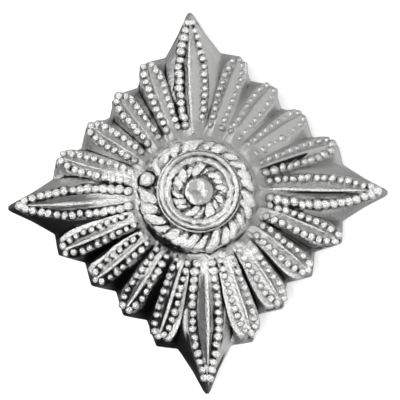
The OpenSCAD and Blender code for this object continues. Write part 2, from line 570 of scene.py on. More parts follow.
@dataclass
class RayRelief:
    """The sheet of rays: a grid for each ray, pulled to its sections and welded at the valleys."""

    layout: StarLayout
    channel_depth: float = 0.09
    soft_cut: float = 0.6
    lip_rise: float = 0.1
    lip_width: float = 0.07
    edge_shares: tuple[float, ...] = (0.5, 0.38, 0.26, 0.14, 0.05)
    wide_lip: float = 0.2
    wide_lip_from: float = 0.6
    wide_lip_fall: float = 0.35
    wide_lips: tuple[tuple[int, int], ...] = ((7, 1), (8, 1), (9, 1), (13, 1), (14, 1), (11, -1))
    point_bulge: tuple[float, ...] = (0.0, 0.06, 0.12, 0.19, 0.15)
    small_bulge: tuple[float, ...] = (0.03, 0.03, 0.03, 0.03, 0.03)
    line_creases: tuple[float, ...] = (0.9, 0.7, 0.8, 0.0, 0.85, 0.85, 0.0)
    first_crease: float = 0.3
    last_crease: float = 0.7
    outline_crease: float = 0.9
    ground_margin: float = 0.1
    levels: int = 2

    def ground(self, ray: int) -> list[Vector]:
        """The places where a ray comes down to the level ground around the boss.

        Args:
            ray: Which ray.

        Returns:
            One place for each column of the ray's grid.
        """
        layout = self.layout
        columns = 2 * len(self.edge_shares) + 2
        turns = [(ray - 0.5 + column / columns) * 360 / layout.rays for column in range(columns + 1)]
        return [polar(layout.ground_radius, turn + layout.swirl, layout.valley_in_z) for turn in turns]

    def row(self, ray: int, index: int) -> list[Vector]:
        """The places across one ray at a section, from one valley to the next.

        Args:
            ray: Which ray.
            index: Which of its sections, from the boss outwards.

        Returns:
            One place for each column of the ray's grid.
        """
        layout = self.layout
        section = layout.sections(ray)[index]
        after = layout.sections(ray + 1)[index].at
        mid = layout.crest(ray, section.at)
        side = layout.across(ray)
        channel = (section.shoulder + section.foot) / 2
        cut = min(section.at / layout.fade_in_share, 1.0) * (1 - self.soft_cut * layout.softness(mid))
        channel_drop = (section.shoulder_drop + section.foot_drop) / 2 + self.channel_depth * cut
        lip = section.shoulder - self.lip_width / 2
        lip_drop = section.shoulder_drop - self.lip_rise * cut

        def half(hand: int) -> list[Vector]:
            """The edge, lip, channel and foot of the ridge on one side of the ray.

            Args:
                hand: 1 for the side clockwise of the ridge, and -1 for the other.

            Returns:
                One place for each of them.
            """
            edge = (section.shoulder + self.lip_width / 2, section.shoulder_drop)
            if (ray % layout.rays, hand) in self.wide_lips:
                wide = self.wide_lip * min(section.at / self.wide_lip_from, 1.0)
                edge = (edge[0] + wide, lip_drop + self.wide_lip_fall * wide)
            stops = (edge, (lip, lip_drop), (channel, channel_drop), (section.foot, section.foot_drop))
            return [mid + side * hand * width - Vector((0, 0, drop)) for width, drop in stops]

        left, right = half(-1), half(1)[::-1]
        top = mid - side * layout.ridge_shift(ray, section.foot)
        ridge = [top - side * section.crest, top, top + side * section.crest]
        return [layout.valley(ray - 1, section.at), *left, *ridge, *right, layout.valley(ray, after)]

    def outline(self, ray: int) -> list[Vector]:
        """The same columns on the outline, whose tips are a little blunt.

        Args:
            ray: Which ray.

        Returns:
            One place for each column, in the plane of the rim's top.
        """
        layout = self.layout
        tip = layout.tip(ray)
        out = (tip - layout.ray_start(ray)).normalized()
        bulge = self.point_bulge if layout.is_point(ray) else self.small_bulge

        def edge(notch: Vector) -> list[Vector]:
            """The places from a notch to the tip."""
            return [tip.lerp(notch, share) + out * more for share, more in zip(self.edge_shares, bulge)]

        before, after = layout.notch(ray - 1), layout.notch(ray)
        row = [before, *edge(before), tip, *reversed(edge(after)), after]
        for place in row:
            place.z = layout.rim
        return row

    def cage(self, ray: int) -> Piece:
        """Makes one ray as a grid of a few faces, with its ridges marked to stay crisp.

        Args:
            ray: Which ray.

        Returns:
            The open grid.
        """
        sections = [self.row(ray, index) for index in range(len(self.layout.sections(ray)))]
        rows = [self.ground(ray), *sections, self.outline(ray)]
        columns, last = len(rows[0]), len(rows) - 1
        piece = add(
            bpy.ops.mesh.primitive_grid_add, f"ray_{ray}",
            x_subdivisions=columns - 1, y_subdivisions=last, size=1,
        )
        mesh = bmesh.new()
        mesh.from_mesh(piece.data)
        crease = mesh.edges.layers.float.new("crease_edge")
        spots = {}
        for vertex in mesh.verts:
            column = round((vertex.co.x + 0.5) * (columns - 1))
            line = round((vertex.co.y + 0.5) * last)
            spots[vertex] = (column, line)
            vertex.co = rows[line][column] * MM
        row_creases = {1: self.first_crease, last - 1: self.last_crease, last: self.outline_crease}
        for line in mesh.edges:
            (column_a, row_a), (column_b, row_b) = (spots[v] for v in line.verts)
            if column_a == column_b:
                line[crease] = self.line_creases[min(column_a, columns - 1 - column_a)]
            elif row_a == row_b:
                line[crease] = row_creases.get(row_a, 0.0)
        mesh.to_mesh(piece.data)
        mesh.free()
        return piece

    def build(self) -> Piece:
        """Welds the rays together and closes them below.

        Returns:
            The whole relief as one closed body with a flat base.
        """
        layout = self.layout
        body = join([self.cage(ray) for ray in range(layout.rays)], "relief")
        edit(body, weld)
        subdivide(body, self.levels)
        inner = (layout.ground_radius + self.ground_margin) * MM

        def pick_open(inside: bool) -> None:
            """Picks the open edges round the boss, or else those of the outline."""
            pick(Part.EDGES, lambda line: line.is_boundary
                 and all(v.co.to_2d().length < inner for v in line.verts) == inside)

        def drop_rim() -> None:
            """Draws the rim down from the outline and closes the base."""
            pick_open(False)
            bpy.ops.mesh.extrude_region_move(TRANSFORM_OT_translate={"value": (0, 0, -layout.rim * MM)})
            bpy.ops.mesh.edge_face_add()

        def close_middle() -> None:
            """Closes the ground under the boss, and splits every face into triangles."""
            pick_open(True)
            bpy.ops.mesh.edge_face_add()
            bpy.ops.mesh.select_all(action="SELECT")
            bpy.ops.mesh.quads_convert_to_tris()

        return edit(body, drop_rim, close_middle, face_outwards)


@dataclass
class BeadRows:
    """The rows of beads that run up one side of each ray, round its end and down the other."""

    layout: StarLayout
    point_diameter: float = 0.46
    point_pitch: float = 0.455
    small_diameter: float = 0.42
    small_pitch: float = 0.46
    first_radius: float = 3.72
    first_rise: float = 0.18
    soft_sink: float = 0.13
    coarse: float = 1.2
    broad: float = 1.12
    bold: dict[tuple[int, int], float] = field(
        default_factory=lambda: {
            (0, -1): 1.28, (5, 1): 1.4, (4, 1): 1.3, (1, -1): 0.95, (15, 1): 1.3, (15, -1): 1.24,
            (6, -1): 1.15, (6, 1): 1.15, (7, -1): 1.12, (7, 1): 1.12, (12, -1): 1.12, (11, -1): 1.12,
        }
    )
    outer: dict[tuple[int, int], float] = field(default_factory=lambda: {(5, 1): 1.15})
    stretches: tuple[float, float] = (0.78, 1.16)
    stray: float = 0.03
    seed: int = 7
    tops: list[Vector] = field(default_factory=list)

    def curve(self, ray: int) -> list[Vector]:
        """The line that the beads of one ray stand on.

        Args:
            ray: Which ray.

        Returns:
            Its corners, up one side of the ray and down the other.
        """
        layout = self.layout
        side = layout.across(ray)
        stops = []
        for hand in (-1, 1):
            for section in layout.sections(ray)[::-hand]:
                drop = (section.foot_drop + section.shoulder_drop) / 2
                width = (section.shoulder + section.foot) / 2 * self.outer.get((ray, hand), 1.0)
                stops.append(layout.crest(ray, section.at) + side * width * hand - Vector((0, 0, drop)))
        return stops

    def places(self, ray: int) -> list[Vector]:
        """Spaces the beads of one ray evenly along its line.

        Args:
            ray: Which ray.

        Returns:
            The middle of each bead, in millimetres.
        """
        stops = self.curve(ray)
        runs = [0.0]
        for start, end in zip(stops, stops[1:]):
            runs.append(runs[-1] + (end - start).length)
        pitch = self.point_pitch if self.layout.is_point(ray) else self.small_pitch
        count = round(runs[-1] / pitch)
        found = []
        for index in range(count + 1):
            goal = runs[-1] * index / count
            leg = max(i for i in range(len(stops) - 1) if runs[i] <= goal + 1e-9)
            share = (goal - runs[leg]) / (runs[leg + 1] - runs[leg])
            place = stops[leg].lerp(stops[leg + 1], share)
            reach = place.to_2d().length
            if reach > self.first_radius + self.first_rise * place.y / reach:
                found.append(place)
        return found

    def bulk(self, ray: int, place: Vector) -> float:
        """How large a bead is beside the others: the left rows of the upper left rays are coarse.

        Args:
            ray: The ray that it stands on.
            place: Its middle, in millimetres.

        Returns:
            A share of the usual diameter.
        """
        layout = self.layout
        hand = (place - layout.ray_start(ray)).dot(layout.across(ray))
        bold = self.bold.get((ray, 1 if hand > 0 else -1))
        if bold:
            return bold
        if hand < 0 and ray > 3 * layout.step:
            return self.coarse
        return self.broad if layout.is_point(ray) and ray else 1.0

    def build(self) -> Piece:
        """Sets all the beads, each a slightly uneven ball of a few dozen faces.

        Returns:
            The beads as one object.
        """
        ball = add(bpy.ops.mesh.primitive_ico_sphere_add, "bead", subdivisions=2, radius=0.5 * MM)
        chance = random.Random(self.seed)
        pieces = []
        for ray in range(self.layout.rays):
            diameter = self.point_diameter if self.layout.is_point(ray) else self.small_diameter
            for place in self.places(ray):
                soft = self.layout.softness(place)
                size = diameter * self.bulk(ray, place)
                place.z -= self.soft_sink * soft
                bead = bpy.data.objects.new("bead_copy", ball.data.copy())
                bpy.context.scene.collection.objects.link(bead)
                turn = Euler([chance.uniform(0, math.tau) for _ in range(3)]).to_matrix().to_4x4()
                sizes = [size * chance.uniform(*self.stretches) for _ in range(3)]
                shift = Vector([chance.uniform(-self.stray, self.stray) for _ in range(3)])
                stretch = Matrix.Diagonal(sizes).to_4x4()
                bead.data.transform(Matrix.Translation((place + shift) * MM) @ turn @ stretch)
                pieces.append(bead)
                self.tops.append(place + shift + Vector((0, 0, size / 2 * (1 + soft))))
        discard(ball)
        return join(pieces, "beads")


@dataclass
class RopeRing:
    """A rope laid in a ring: a round core with slanted strands wound over it."""

    name: str
    radius: float
    height: float
    core: float
    strands: int
    thickness: float
    slant: float
    wrap: float
    seed: int
    centre: tuple[float, float] = (0.0, 0.0)
    stray: float = 0.2
    slants: tuple[float, float] = (0.65, 1.4)
    thicknesses: tuple[float, float] = (0.72, 1.28)
    rises: tuple[float, float] = (-0.06, 0.07)
    dent_depth: float = 0.09
    dent_size: float = 0.2
    stand: float = 0.42
    left_out: tuple[int, ...] = ()

    def strand(self, index: int, chance: random.Random) -> Piece:
        """One strand: a blunt spindle bent over the core.

        Args:
            index: Which strand, clockwise.
            chance: Source of the small differences between strands.

        Returns:
            The strand as a closed piece.
        """
        piece = add(
            bpy.ops.mesh.primitive_uv_sphere_add, f"{self.name}_strand_{index}",
            segments=14, ring_count=14, radius=0.5,
        )
        azimuth = (index + chance.uniform(-self.stray, self.stray)) * 360 / self.strands
        slant = self.slant * chance.uniform(*self.slants)
        thick = self.thickness * chance.uniform(*self.thicknesses)
        rise = chance.uniform(*self.rises)
        for vertex in piece.data.vertices:
            along, aside, up = vertex.co.z * 2, vertex.co.x * 2, vertex.co.y * 2
            fat = math.sqrt(1 + along * along)
            over = math.radians(along * self.wrap)
            tube = self.core / 2 + rise + up * thick * self.stand * fat
            radius = self.radius - math.sin(over) * tube
            height = self.height + math.cos(over) * tube
            swing = azimuth - along * slant / 2 + math.degrees(aside * thick * 0.5 * fat / self.radius)
            vertex.co = (polar(radius, swing, height) + Vector((*self.centre, 0))) * MM
        return edit(roughen(piece, Dents(self.dent_depth, self.dent_size, index + 1)), face_outwards)

    def build(self) -> list[Piece]:
        """Makes the core and every strand but the ones that are torn off.

        Returns:
            The closed pieces, one by one.
        """
        core = settle(add(
            bpy.ops.mesh.primitive_torus_add, f"{self.name}_core",
            location=Vector((*self.centre, self.height)) * MM, major_segments=72, minor_segments=12,
            major_radius=self.radius * MM, minor_radius=self.core / 2 * MM,
        ))
        chance = random.Random(self.seed)
        strands = [self.strand(index, chance) for index in range(self.strands)]
        kept = [strand for index, strand in enumerate(strands) if index not in self.left_out]
        for index in self.left_out:
            discard(strands[index])
        return [core, *kept]


class PlainRing(NamedTuple):
    """A plain ring round the button: outer radius, width of its section, top and dents."""

    name: str
    outer: float
    width: float
    top: float
    dents: Dents


@dataclass
class Boss:
    """The middle of the star: foot, floor, plain rings, button, and the drop on the outer rope."""

    foot_radius: float = 2.92
    foot_level: float = 1.9
    foot_top: float = 2.05
    foot_bottom: float = 1.55
    foot_slope: float = 66.0
    rings: tuple[PlainRing, ...] = (
        PlainRing("ring", 2.18, 0.25, 2.94, Dents(0.05, 0.3, 6)),
        PlainRing("band", 1.97, 0.42, 2.85, Dents(0.08, 0.3, 8)),
    )
    ring_bottom: float = 1.6
    ring_rounding: float = 0.48
    line_radius: float = 2.26
    line_width: float = 0.12
    line_height: float = 2.62
    floor_radius: float = 2.08
    floor_top: float = 2.25
    floor_edge: float = 0.05
    button_radius: float = 0.8
    button_top: float = 2.66
    button_sunk: float = 0.5
    button_fullness: float = 1.3
    button_dents: Dents = Dents(0.09, 0.42, 4)
    dimple: tuple[float, float, float] = (-0.14, 0.16, 0.22)
    dimple_spread: float = 0.09
    blob_height: float = 2.5
    blob_size: float = 0.84
    blob_shape: tuple[float, float, float] = (0.86, 1.05, 0.9)

    def foot(self) -> Piece:
        """Makes the sloped foot on which the ropes stand, set off to the left like the outer rope.

        Returns:
            The foot as a low cone.
        """
        bottom = self.foot_bottom
        spread = 1 / math.tan(math.radians(self.foot_slope))
        top_radius = self.foot_radius - (self.foot_top - self.foot_level) * spread
        return settle(add(
            bpy.ops.mesh.primitive_cone_add, "foot",
            vertices=96, radius1=(top_radius + (self.foot_top - bottom) * spread) * MM,
            radius2=top_radius * MM, depth=(self.foot_top - bottom) * MM,
            location=Vector((*ROPE_CENTRE, (self.foot_top + bottom) / 2)) * MM,
        ))

    def floor(self) -> Piece:
        """Makes the round floor within the plain rings, on which the inner rope lies.

        Returns:
            The floor as a low drum with a softened edge.
        """
        top, bottom = self.floor_top, self.ring_bottom
        piece = settle(add(
            bpy.ops.mesh.primitive_cylinder_add, "floor",
            vertices=72, radius=self.floor_radius * MM, depth=(top - bottom) * MM,
            location=(0, 0, (top + bottom) / 2 * MM),
        ))
        middle = (top + bottom) / 2 * MM
        return edit(
            piece,
            lambda: pick(Part.EDGES, lambda line: all(v.co.z > middle for v in line.verts)),
            lambda: bpy.ops.mesh.bevel(offset=self.floor_edge * MM, segments=3, affect="EDGES"),
        )

    def plain_ring(self, ring: PlainRing) -> Piece:
        """Spins a plain ring from its section.

        Args:
            ring: Its sizes.

        Returns:
            The ring, dented a little.
        """
        bottom = self.ring_bottom
        piece = add(bpy.ops.mesh.primitive_plane_add, ring.name, size=1, rotation=(math.pi / 2, 0, 0))
        piece.scale = (ring.width * MM, (ring.top - bottom) * MM, 1)
        piece.location = ((ring.outer - ring.width / 2) * MM, 0, (ring.top + bottom) / 2 * MM)
        middle = (ring.top + bottom) / 2 * MM
        soft = ring.width * self.ring_rounding
        edit(
            settle(piece),
            lambda: pick(Part.VERTICES, lambda vertex: vertex.co.z > middle),
            lambda: bpy.ops.mesh.bevel(offset=soft * MM, segments=5, affect="VERTICES"),
            keep_outline,
            lambda: bpy.ops.mesh.spin(steps=96, angle=math.tau, center=(0, 0, 0), axis=(0, 0, 1)),
            weld,
            face_outwards,
        )
        return roughen(piece, ring.dents)

    def fine_line(self) -> Piece:
        """Makes the fine raised line between the outer plain ring and the outer rope.

        Returns:
            The line as a thin ring.
        """
        return settle(add(
            bpy.ops.mesh.primitive_torus_add, "fine_line",
            location=(0, 0, self.line_height * MM), major_segments=96, minor_segments=8,
            major_radius=self.line_radius * MM, minor_radius=self.line_width / 2 * MM,
        ))

    def button(self) -> Piece:
        """Makes the button.

        Returns:
            A flattened dome with a dented top.
        """
        middle = self.floor_top
        piece = add(bpy.ops.mesh.primitive_uv_sphere_add, "button", segments=40, ring_count=24, radius=1)
        for vertex in piece.data.vertices:
            up = vertex.co.z
            flat = abs(up) ** 0.5 * math.copysign(1, up)
            spread = math.sqrt(max(1 - up ** 4, 0)) / max(math.sqrt(1 - min(up ** 2, 1)), 1e-3)
            reach = vertex.co.to_2d() * min(spread, self.button_fullness) * self.button_radius
            rise = self.button_top - middle if flat > 0 else self.button_sunk
            off_dimple = (reach.x - self.dimple[0]) ** 2 + (reach.y - self.dimple[1]) ** 2
            sunk = math.exp(-off_dimple / self.dimple_spread)
            height = middle + flat * rise - (self.dimple[2] * sunk if flat > 0 else 0)
            vertex.co = Vector((reach.x, reach.y, height)) * MM
        return roughen(piece, self.button_dents)

    def blob(self) -> Piece:
        """Makes the large round drop that lies on the outer rope.

        Returns:
            The drop.
        """
        return settle(add(
            bpy.ops.mesh.primitive_uv_sphere_add, "blob",
            segments=24, ring_count=14, radius=self.blob_size / 2 * MM,
            location=polar(*DROP_PLACE, self.blob_height) * MM, scale=self.blob_shape,
        ))

    def build(self) -> list[Piece]:
        """Every solid that stands on the foot and the floor."""
        return [*map(self.plain_ring, self.rings), self.fine_line(), self.button(), self.blob()]


@dataclass
class HollowBack:
    """The hollow of the back, and the soldered bar across it."""

    layout: StarLayout
    rim_width: float = 1.35
    depth: float = 1.5
    narrowing: float = 0.3
    bar_diameter: float = 0.5
    bar_height: float = 0.72
    post_x: float = 1.3
    rounding: float = 0.35
    overcut: float = 0.01
    bedded: float = 0.15

    def hollow(self) -> Piece:
        """Makes the form that is cut away.

        Returns:
            A four-sided cone with rounded corners.
        """
        reach_x, reach_y = self.layout.reach_x, self.layout.reach_y
        side = math.hypot(reach_x, reach_y)
        inner = 1 - self.rim_width * side / (reach_x * reach_y)
        piece = add(
            bpy.ops.mesh.primitive_cone_add, "hollow", vertices=4, radius1=1, radius2=self.narrowing,
            depth=self.depth * MM, location=(0, 0, self.depth / 2 * MM),
        )
        piece.scale = (reach_x * inner * MM, reach_y * inner * MM, 1)

        def pick_corners() -> None:
            """Picks the edges of the roof and the slanting ones."""
            pick(Part.EDGES, lambda line: all(v.co.z > self.depth / 2 * MM for v in line.verts)
                 or abs(line.verts[0].co.z - line.verts[1].co.z) > MM)

        return edit(
            settle(piece),
            pick_corners,
            lambda: bpy.ops.mesh.bevel(offset=self.rounding * MM, segments=4, affect="EDGES"),
            lambda: pick(Part.FACES, lambda face: face.normal.z < -0.9),
            lambda: bpy.ops.transform.translate(value=(0, 0, -self.overcut * MM)),
        )

    def bar(self) -> list[Piece]:
        """Makes the bar and its two posts, bedded in the roof of the hollow.

        Returns:
            The closed pieces, one by one.
        """
        radius = self.bar_diameter / 2 * MM
        pieces = [settle(add(
            bpy.ops.mesh.primitive_cylinder_add, "bar", vertices=24, radius=radius,
            depth=2 * self.post_x * MM, location=(0, 0, self.bar_height * MM), rotation=(0, math.pi / 2, 0),
        ))]
        length = self.depth + self.bedded - self.bar_height
        for hand in (-1, 1):
            pieces.append(settle(add(
                bpy.ops.mesh.primitive_cylinder_add, "post", vertices=24, radius=radius, depth=length * MM,
                location=(hand * self.post_x * MM, 0, (self.bar_height + length / 2) * MM),
            )))
            pieces.append(settle(add(
                bpy.ops.mesh.primitive_uv_sphere_add, "elbow", segments=24, ring_count=12, radius=radius,
                location=(hand * self.post_x * MM, 0, self.bar_height * MM),
            )))
        return pieces


def surface_tree(piece: Piece) -> BVHTree:
    """The faces of a piece, as a tree in which rays can be cast."""
    mesh = piece.data
    return BVHTree.FromPolygons([v.co for v in mesh.vertices], [p.vertices for p in mesh.polygons])


@dataclass
class HeightField:
    """Heights of a piece seen from above, on a square grid, and what they say of worn high spots and of
    painted seam shade.
    """

    piece: Piece
    reach: float
    pitch: float = 0.05
    from_above: float = 10.0
    hidden_below: float = 0.3

    def __post_init__(self) -> None:
        """Drops a ray on every place of the grid."""
        tree = surface_tree(self.piece)
        self.size = int(2 * self.reach / self.pitch) + 1
        self.heights = np.zeros((self.size, self.size))
        down = Vector((0, 0, -1))
        for row in range(self.size):
            for column in range(self.size):
                start = Vector((self.place(column), self.place(row), self.from_above)) * MM
                spot = tree.ray_cast(start, down)[0]
                if spot is not None:
                    self.heights[row, column] = spot.z / MM

    def place(self, index: int) -> float:
        """Millimetres from the middle for a row or column."""
        return index * self.pitch - self.reach

    def blurred(self, width: float) -> np.ndarray:
        """Averages the heights over a soft disc.

        Args:
            width: How wide the disc is, in millimetres.

        Returns:
            The averages, on the same grid.
        """
        tail = int(3 * width / self.pitch)
        steps = np.arange(-tail, tail + 1)
        weights = np.exp(-0.5 * (steps * self.pitch / width) ** 2)

        def spread(grid: np.ndarray) -> np.ndarray:
            """Blurs a grid along its columns and then along its rows."""
            down = np.apply_along_axis(np.convolve, 0, grid, weights, mode="same")
            return np.apply_along_axis(np.convolve, 1, down, weights, mode="same")

        return spread(self.heights) / np.maximum(spread((self.heights > 0).astype(float)), 1e-6)

    def above(self, places: np.ndarray, width: float) -> np.ndarray:
        """How far places of the surface stand above their surroundings.

        Args:
            places: One place a row, in millimetres.
            width: How wide the surroundings are, in millimetres.

        Returns:
            Millimetres, below zero in a seam, and zero where the surface is hidden from above.
        """
        columns, rows = (
            np.clip(np.rint((places[:, axis] + self.reach) / self.pitch).astype(int), 0, self.size - 1)
            for axis in (0, 1)
        )
        rise = places[:, 2] - self.blurred(width)[rows, columns]
        hidden = places[:, 2] < self.heights[rows, columns] - self.hidden_below
        return np.where(hidden, 0.0, rise)


def store(piece: Piece, name: str, values: Iterable[float]) -> None:
    """Stores a value from -1 to 1 on every vertex of a piece, under a name."""
    layer = piece.data.attributes.new(name, "FLOAT", "POINT")
    layer.data.foreach_set("value", np.clip(values, -1, 1).astype(np.float32))


def crevices(piece: Piece, reach: float = 0.7, rays: int = 20,
             lift: float = 0.01) -> np.ndarray:
    """Finds for every vertex how much of the open air above it is hidden by metal nearby.

    Args:
        piece: The finished piece.
        reach: How far away metal still counts, in millimetres.
        rays: Number of directions that are tried.
        lift: How far off the surface they start, in millimetres.

    Returns:
        The hidden share for every vertex.
    """
    tree = surface_tree(piece)
    golden = math.pi * (3 - math.sqrt(5))
    fan = []
    for index in range(rays):
        rise = math.sqrt(1 - (index + 0.5) / rays)
        ring = math.sqrt(1 - rise * rise)
        fan.append(Vector((ring * math.cos(index * golden), ring * math.sin(index * golden), rise)))
    values = []
    for vertex in piece.data.vertices:
        normal = vertex.normal
        turn = normal.to_track_quat("Z", "Y")
        start = vertex.co + normal * lift * MM
        hidden = 0.0
        for way in fan:
            spot, _, _, far = tree.ray_cast(start, turn @ way, reach * MM)
            if spot is not None:
                hidden += 1 - far / (reach * MM)
        values.append(hidden / rays)
    return np.array(values)


class Sector(NamedTuple):
    """A sector of the star: its bearing, and how many degrees it reaches to each side."""

    azimuth: float
    reach: float

    def share(self, places: np.ndarray) -> np.ndarray:
        """How far places lie inside the sector, from 0 outside it to 1, with soft sides."""
        turn = np.degrees(np.arctan2(places[:, 0], places[:, 1]))
        return np.clip((self.reach - np.abs((turn - self.azimuth + 180) % 360 - 180)) / SECTOR_FADE, 0, 1)


class Spot(NamedTuple):
    """A round spot on the face: its distance from the middle, its bearing and its size."""

    radius: float
    azimuth: float
    size: float

    def distance(self, places: np.ndarray) -> np.ndarray:
        """How far places lie from the middle of the spot, seen from above."""
        middle = np.array(polar(self.radius, self.azimuth))[:2]
        return np.hypot(*(places[:, :2] - middle).T)


class Lens(NamedTuple):
    """A lens-shaped field of painted shade on a ray: which ray and half of it, its ends, width and
    darkness.
    """

    ray: int
    hand: int
    start: float
    end: float
    width: float
    tone: float


class Arc(NamedTuple):
    """An arc of painted shadow round the boss: its sector, radius, half width and darkness."""

    sector: Sector
    radius: float
    half_width: float
    tone: float


@dataclass
class WearAndPaintedLight:
    """What is done to the face: where it is worn bright, where highlights and shade are painted on, and
    where the upper right is toned to match how it is lit.

    Each pair of numbers says where a change starts and where it is full.
    """

    layout: StarLayout
    body: Piece
    tops: list[Vector]
    upper_left: Sector = Sector(315, 40)
    lower_left: Sector = Sector(225, 53)
    lower_left_core: Sector = Sector(225, 40)
    right: Sector = Sector(115, 42)
    lower_right: Sector = Sector(150, 24)
    lower_right_radii: tuple[float, float] = (5.2, 6.7)
    # The upper right sector, where the shade is painted weaker and the silver is toned to match how that
    # side is lit
    even_lit_more: float = 14.0
    field_margin: float = 0.3
    boss_reach: float = 3.02
    foot_reach: float = 3.5
    button_radius: float = 0.85
    drop: Spot = Spot(*DROP_PLACE, 0.39)
    drop_inside: float = -0.04
    drop_polish: float = 0.9
    drop_shade_middle: float = 0.07
    drop_shade_reach: float = 0.13
    drop_shade_tone: float = 1.2
    # Band round the beads' tops that is kept clear of painted shade; at the lower left the painted shade
    # comes nearer the beads
    bead_clear: tuple[float, float] = (0.27, 0.37)
    bead_shade: float = 0.06
    bead_polish: float = 0.3
    # Painted shade on the flanks below the lips, strongest at the lower left and growing outwards, weaker
    # at the right
    flank_depths: tuple[float, float] = (0.03, 0.15)
    flank_level: float = -0.2
    face_level: float = -0.1
    flank_shade_inner: float = 0.45
    flank_shade_radii: tuple[float, float] = (4.6, 6.8)
    flank_shade_right: float = 0.38
    lens_fade: float = 0.06
    ridge_clear: tuple[float, float] = (0.06, 0.11)
    point_foot: float = 0.44
    small_foot: float = 0.2
    # Lens-shaped fields of painted shade beside the ridges
    lenses: tuple[Lens, ...] = (
        Lens(15, 0, 0.22, 0.84, 0.42, 0.5), Lens(10, 1, 0.14, 0.96, 0.5, 0.2),
        Lens(10, 1, 0.14, 1.0, 1.15, 0.45), Lens(5, 1, 0.1, 0.84, 0.44, 0.5),
        Lens(4, 1, 0.04, 0.62, 0.38, 1.2), Lens(1, -1, 0.3, 0.8, 0.3, 0.6),
        Lens(5, 1, 0.1, 0.86, 0.24, 1.1), Lens(14, -1, 0.25, 1.3, 1.3, 0.9),
        Lens(13, -1, 0.4, 1.3, 1.3, 0.85), Lens(12, -1, 0.55, 1.3, 1.3, 0.5),
        Lens(12, 1, 0.45, 1.3, 1.3, 0.6), Lens(11, 1, 0.15, 1.3, 1.3, 0.85),
        Lens(6, 0, 0.1, 1.3, 1.2, 0.3), Lens(7, -1, 0.1, 1.3, 0.9, 0.4),
        Lens(8, -1, 0.1, 1.3, 0.9, 0.42), Lens(9, -1, 0.1, 1.3, 0.9, 0.42),
    )
    # Arcs of painted shadow and painted shade round the boss
    arcs: tuple[Arc, ...] = (
        Arc(Sector(219, 30), 3.34, 0.18, 1.0), Arc(Sector(140, 16), 3.28, 0.13, 0.7),
        Arc(Sector(55, 100), 3.6, 0.55, 0.3), Arc(Sector(318, 30), 3.6, 0.55, 0.35),
        Arc(Sector(10, 55), 2.0, 0.26, 0.3), Arc(Sector(55, 75), 2.75, 0.45, 0.22),
    )
    arc_fade: float = 0.08
    # Painted highlights on the west, south and south-east points, where they are lit bright
    highlight_spots: tuple[Spot, ...] = (
        Spot(4.3, 270, 2.1), Spot(4.2, 282, 0.7), Spot(4.2, 180, 1.3),
        Spot(4.3, 158, 0.7), Spot(4.3, 140, 0.7),
    )
    highlight_spot_strength: float = 1.1
    # Strength of the painted shade in the crevices of the boss, and how much it is weakened in the lighter
    # sectors
    boss_crevice: float = 0.8
    crevice_loss: float = 0.4
    crevice_loss_upper_left: float = 0.35
    # Painted shade in the seams, and how its strength changes from sector to sector
    seam_width: float = 0.1
    seam_height: float = 0.05
    seam_off_rim: tuple[float, float] = (0.05, 0.25)
    seam_loss_even_lit: float = 0.75
    seam_loss_upper_left: float = 0.55
    seam_loss_right: float = 0.6
    seam_gain_core: float = 0.7
    seam_in_boss: float = 0.28
    seam_on_foot: float = 0.6
    ridge_width: float = 0.15
    ridge_height: float = 0.07
    ridge_polish: float = 0.4
    ridge_loss_even_lit: float = 0.85
    ridge_loss_upper_left: float = 0.6
    bead_loss_even_lit: float = 0.62
    boss_width: float = 0.3
    boss_height: float = 0.14
    boss_polish: float = 0.36
    # Painted highlight on the upper left side of the boss
    boss_light: Sector = Sector(300, 55)
    boss_light_polish: float = 0.3
    ring_above: float = 2.7
    ring_radius: float = 1.86
    ring_half_width: float = 0.36
    ring_polish: float = 0.22
    ring_least: float = 0.6
    ring_edge: float = 2.1
    ring_edge_width: float = 0.1
    # Painted highlights on the plain ring at two bearings
    ring_lights: tuple[tuple[Sector, float], ...] = ((Sector(120, 50), 0.8), (Sector(285, 32), 1.4))

    def __post_init__(self) -> None:
        """Works out what the layers of wear share."""
        places = self.places = self.vectors("co") / MM
        self.level = self.vectors("normal")[:, 2]
        self.radius = np.hypot(places[:, 0], places[:, 1])
        reach = max(self.layout.reach_x, self.layout.reach_y) + self.field_margin
        self.heights = HeightField(self.body, reach)
        # Upper right sector, toned as evenly lit
        self.even_lit = np.array([self.layout.softness(Vector(place), self.even_lit_more) for place in places])
        self.at_upper_left = self.upper_left.share(places)
        self.at_lower_left = self.lower_left.share(places)
        self.at_right = self.right.share(places)
        outer = ramp(self.radius, *self.lower_right_radii)
        self.at_lower_right = self.lower_right.share(places) * outer
        self.in_boss = np.hypot(*(places[:, :2] - np.array(ROPE_CENTRE)).T) < self.boss_reach
        self.on_foot = self.radius < self.foot_reach
        self.from_drop = self.drop.distance(places) - self.drop.size
        self.from_bead = self.bead_distances()
        # How far places lie clear of the beads' tops, where no painted shade falls; nearer at the lower
        # left
        self.clear = ramp(self.from_bead + self.bead_shade * self.at_lower_left, *self.bead_clear)

    def vectors(self, name: str) -> np.ndarray:
        """One vector of every vertex of the body, such as its place.

        Args:
            name: Blender's name for the vector.

        Returns:
            One vector a row.
        """
        values = np.empty(len(self.body.data.vertices) * 3)
        self.body.data.vertices.foreach_get(name, values)
        return values.reshape(-1, 3)

    def bead_distances(self) -> np.ndarray:
        """Measures how far every place is from the top of the nearest bead.

        Returns:
            Millimetres for every vertex.
        """
        tree = KDTree(len(self.tops))
        for index, top in enumerate(self.tops):
            tree.insert(top, index)
        tree.balance()
        return np.array([tree.find(place)[2] for place in self.places])

    def on_ray(self, ray: int, places: np.ndarray) -> tuple[np.ndarray, np.ndarray]:
        """Finds where places lie on a ray.

        Args:
            ray: Which ray.
            places: One place a row.

        Returns:
            How far along the ray they are, from 0 to 1, and the millimetres across it.
        """
        start, tip = self.layout.ray_start(ray), self.layout.tip(ray)
        offset = places - np.array((start.x, start.y, 0))
        along = offset @ np.array((tip - start).normalized()) / (tip - start).length
        return along, offset @ np.array(self.layout.across(ray))

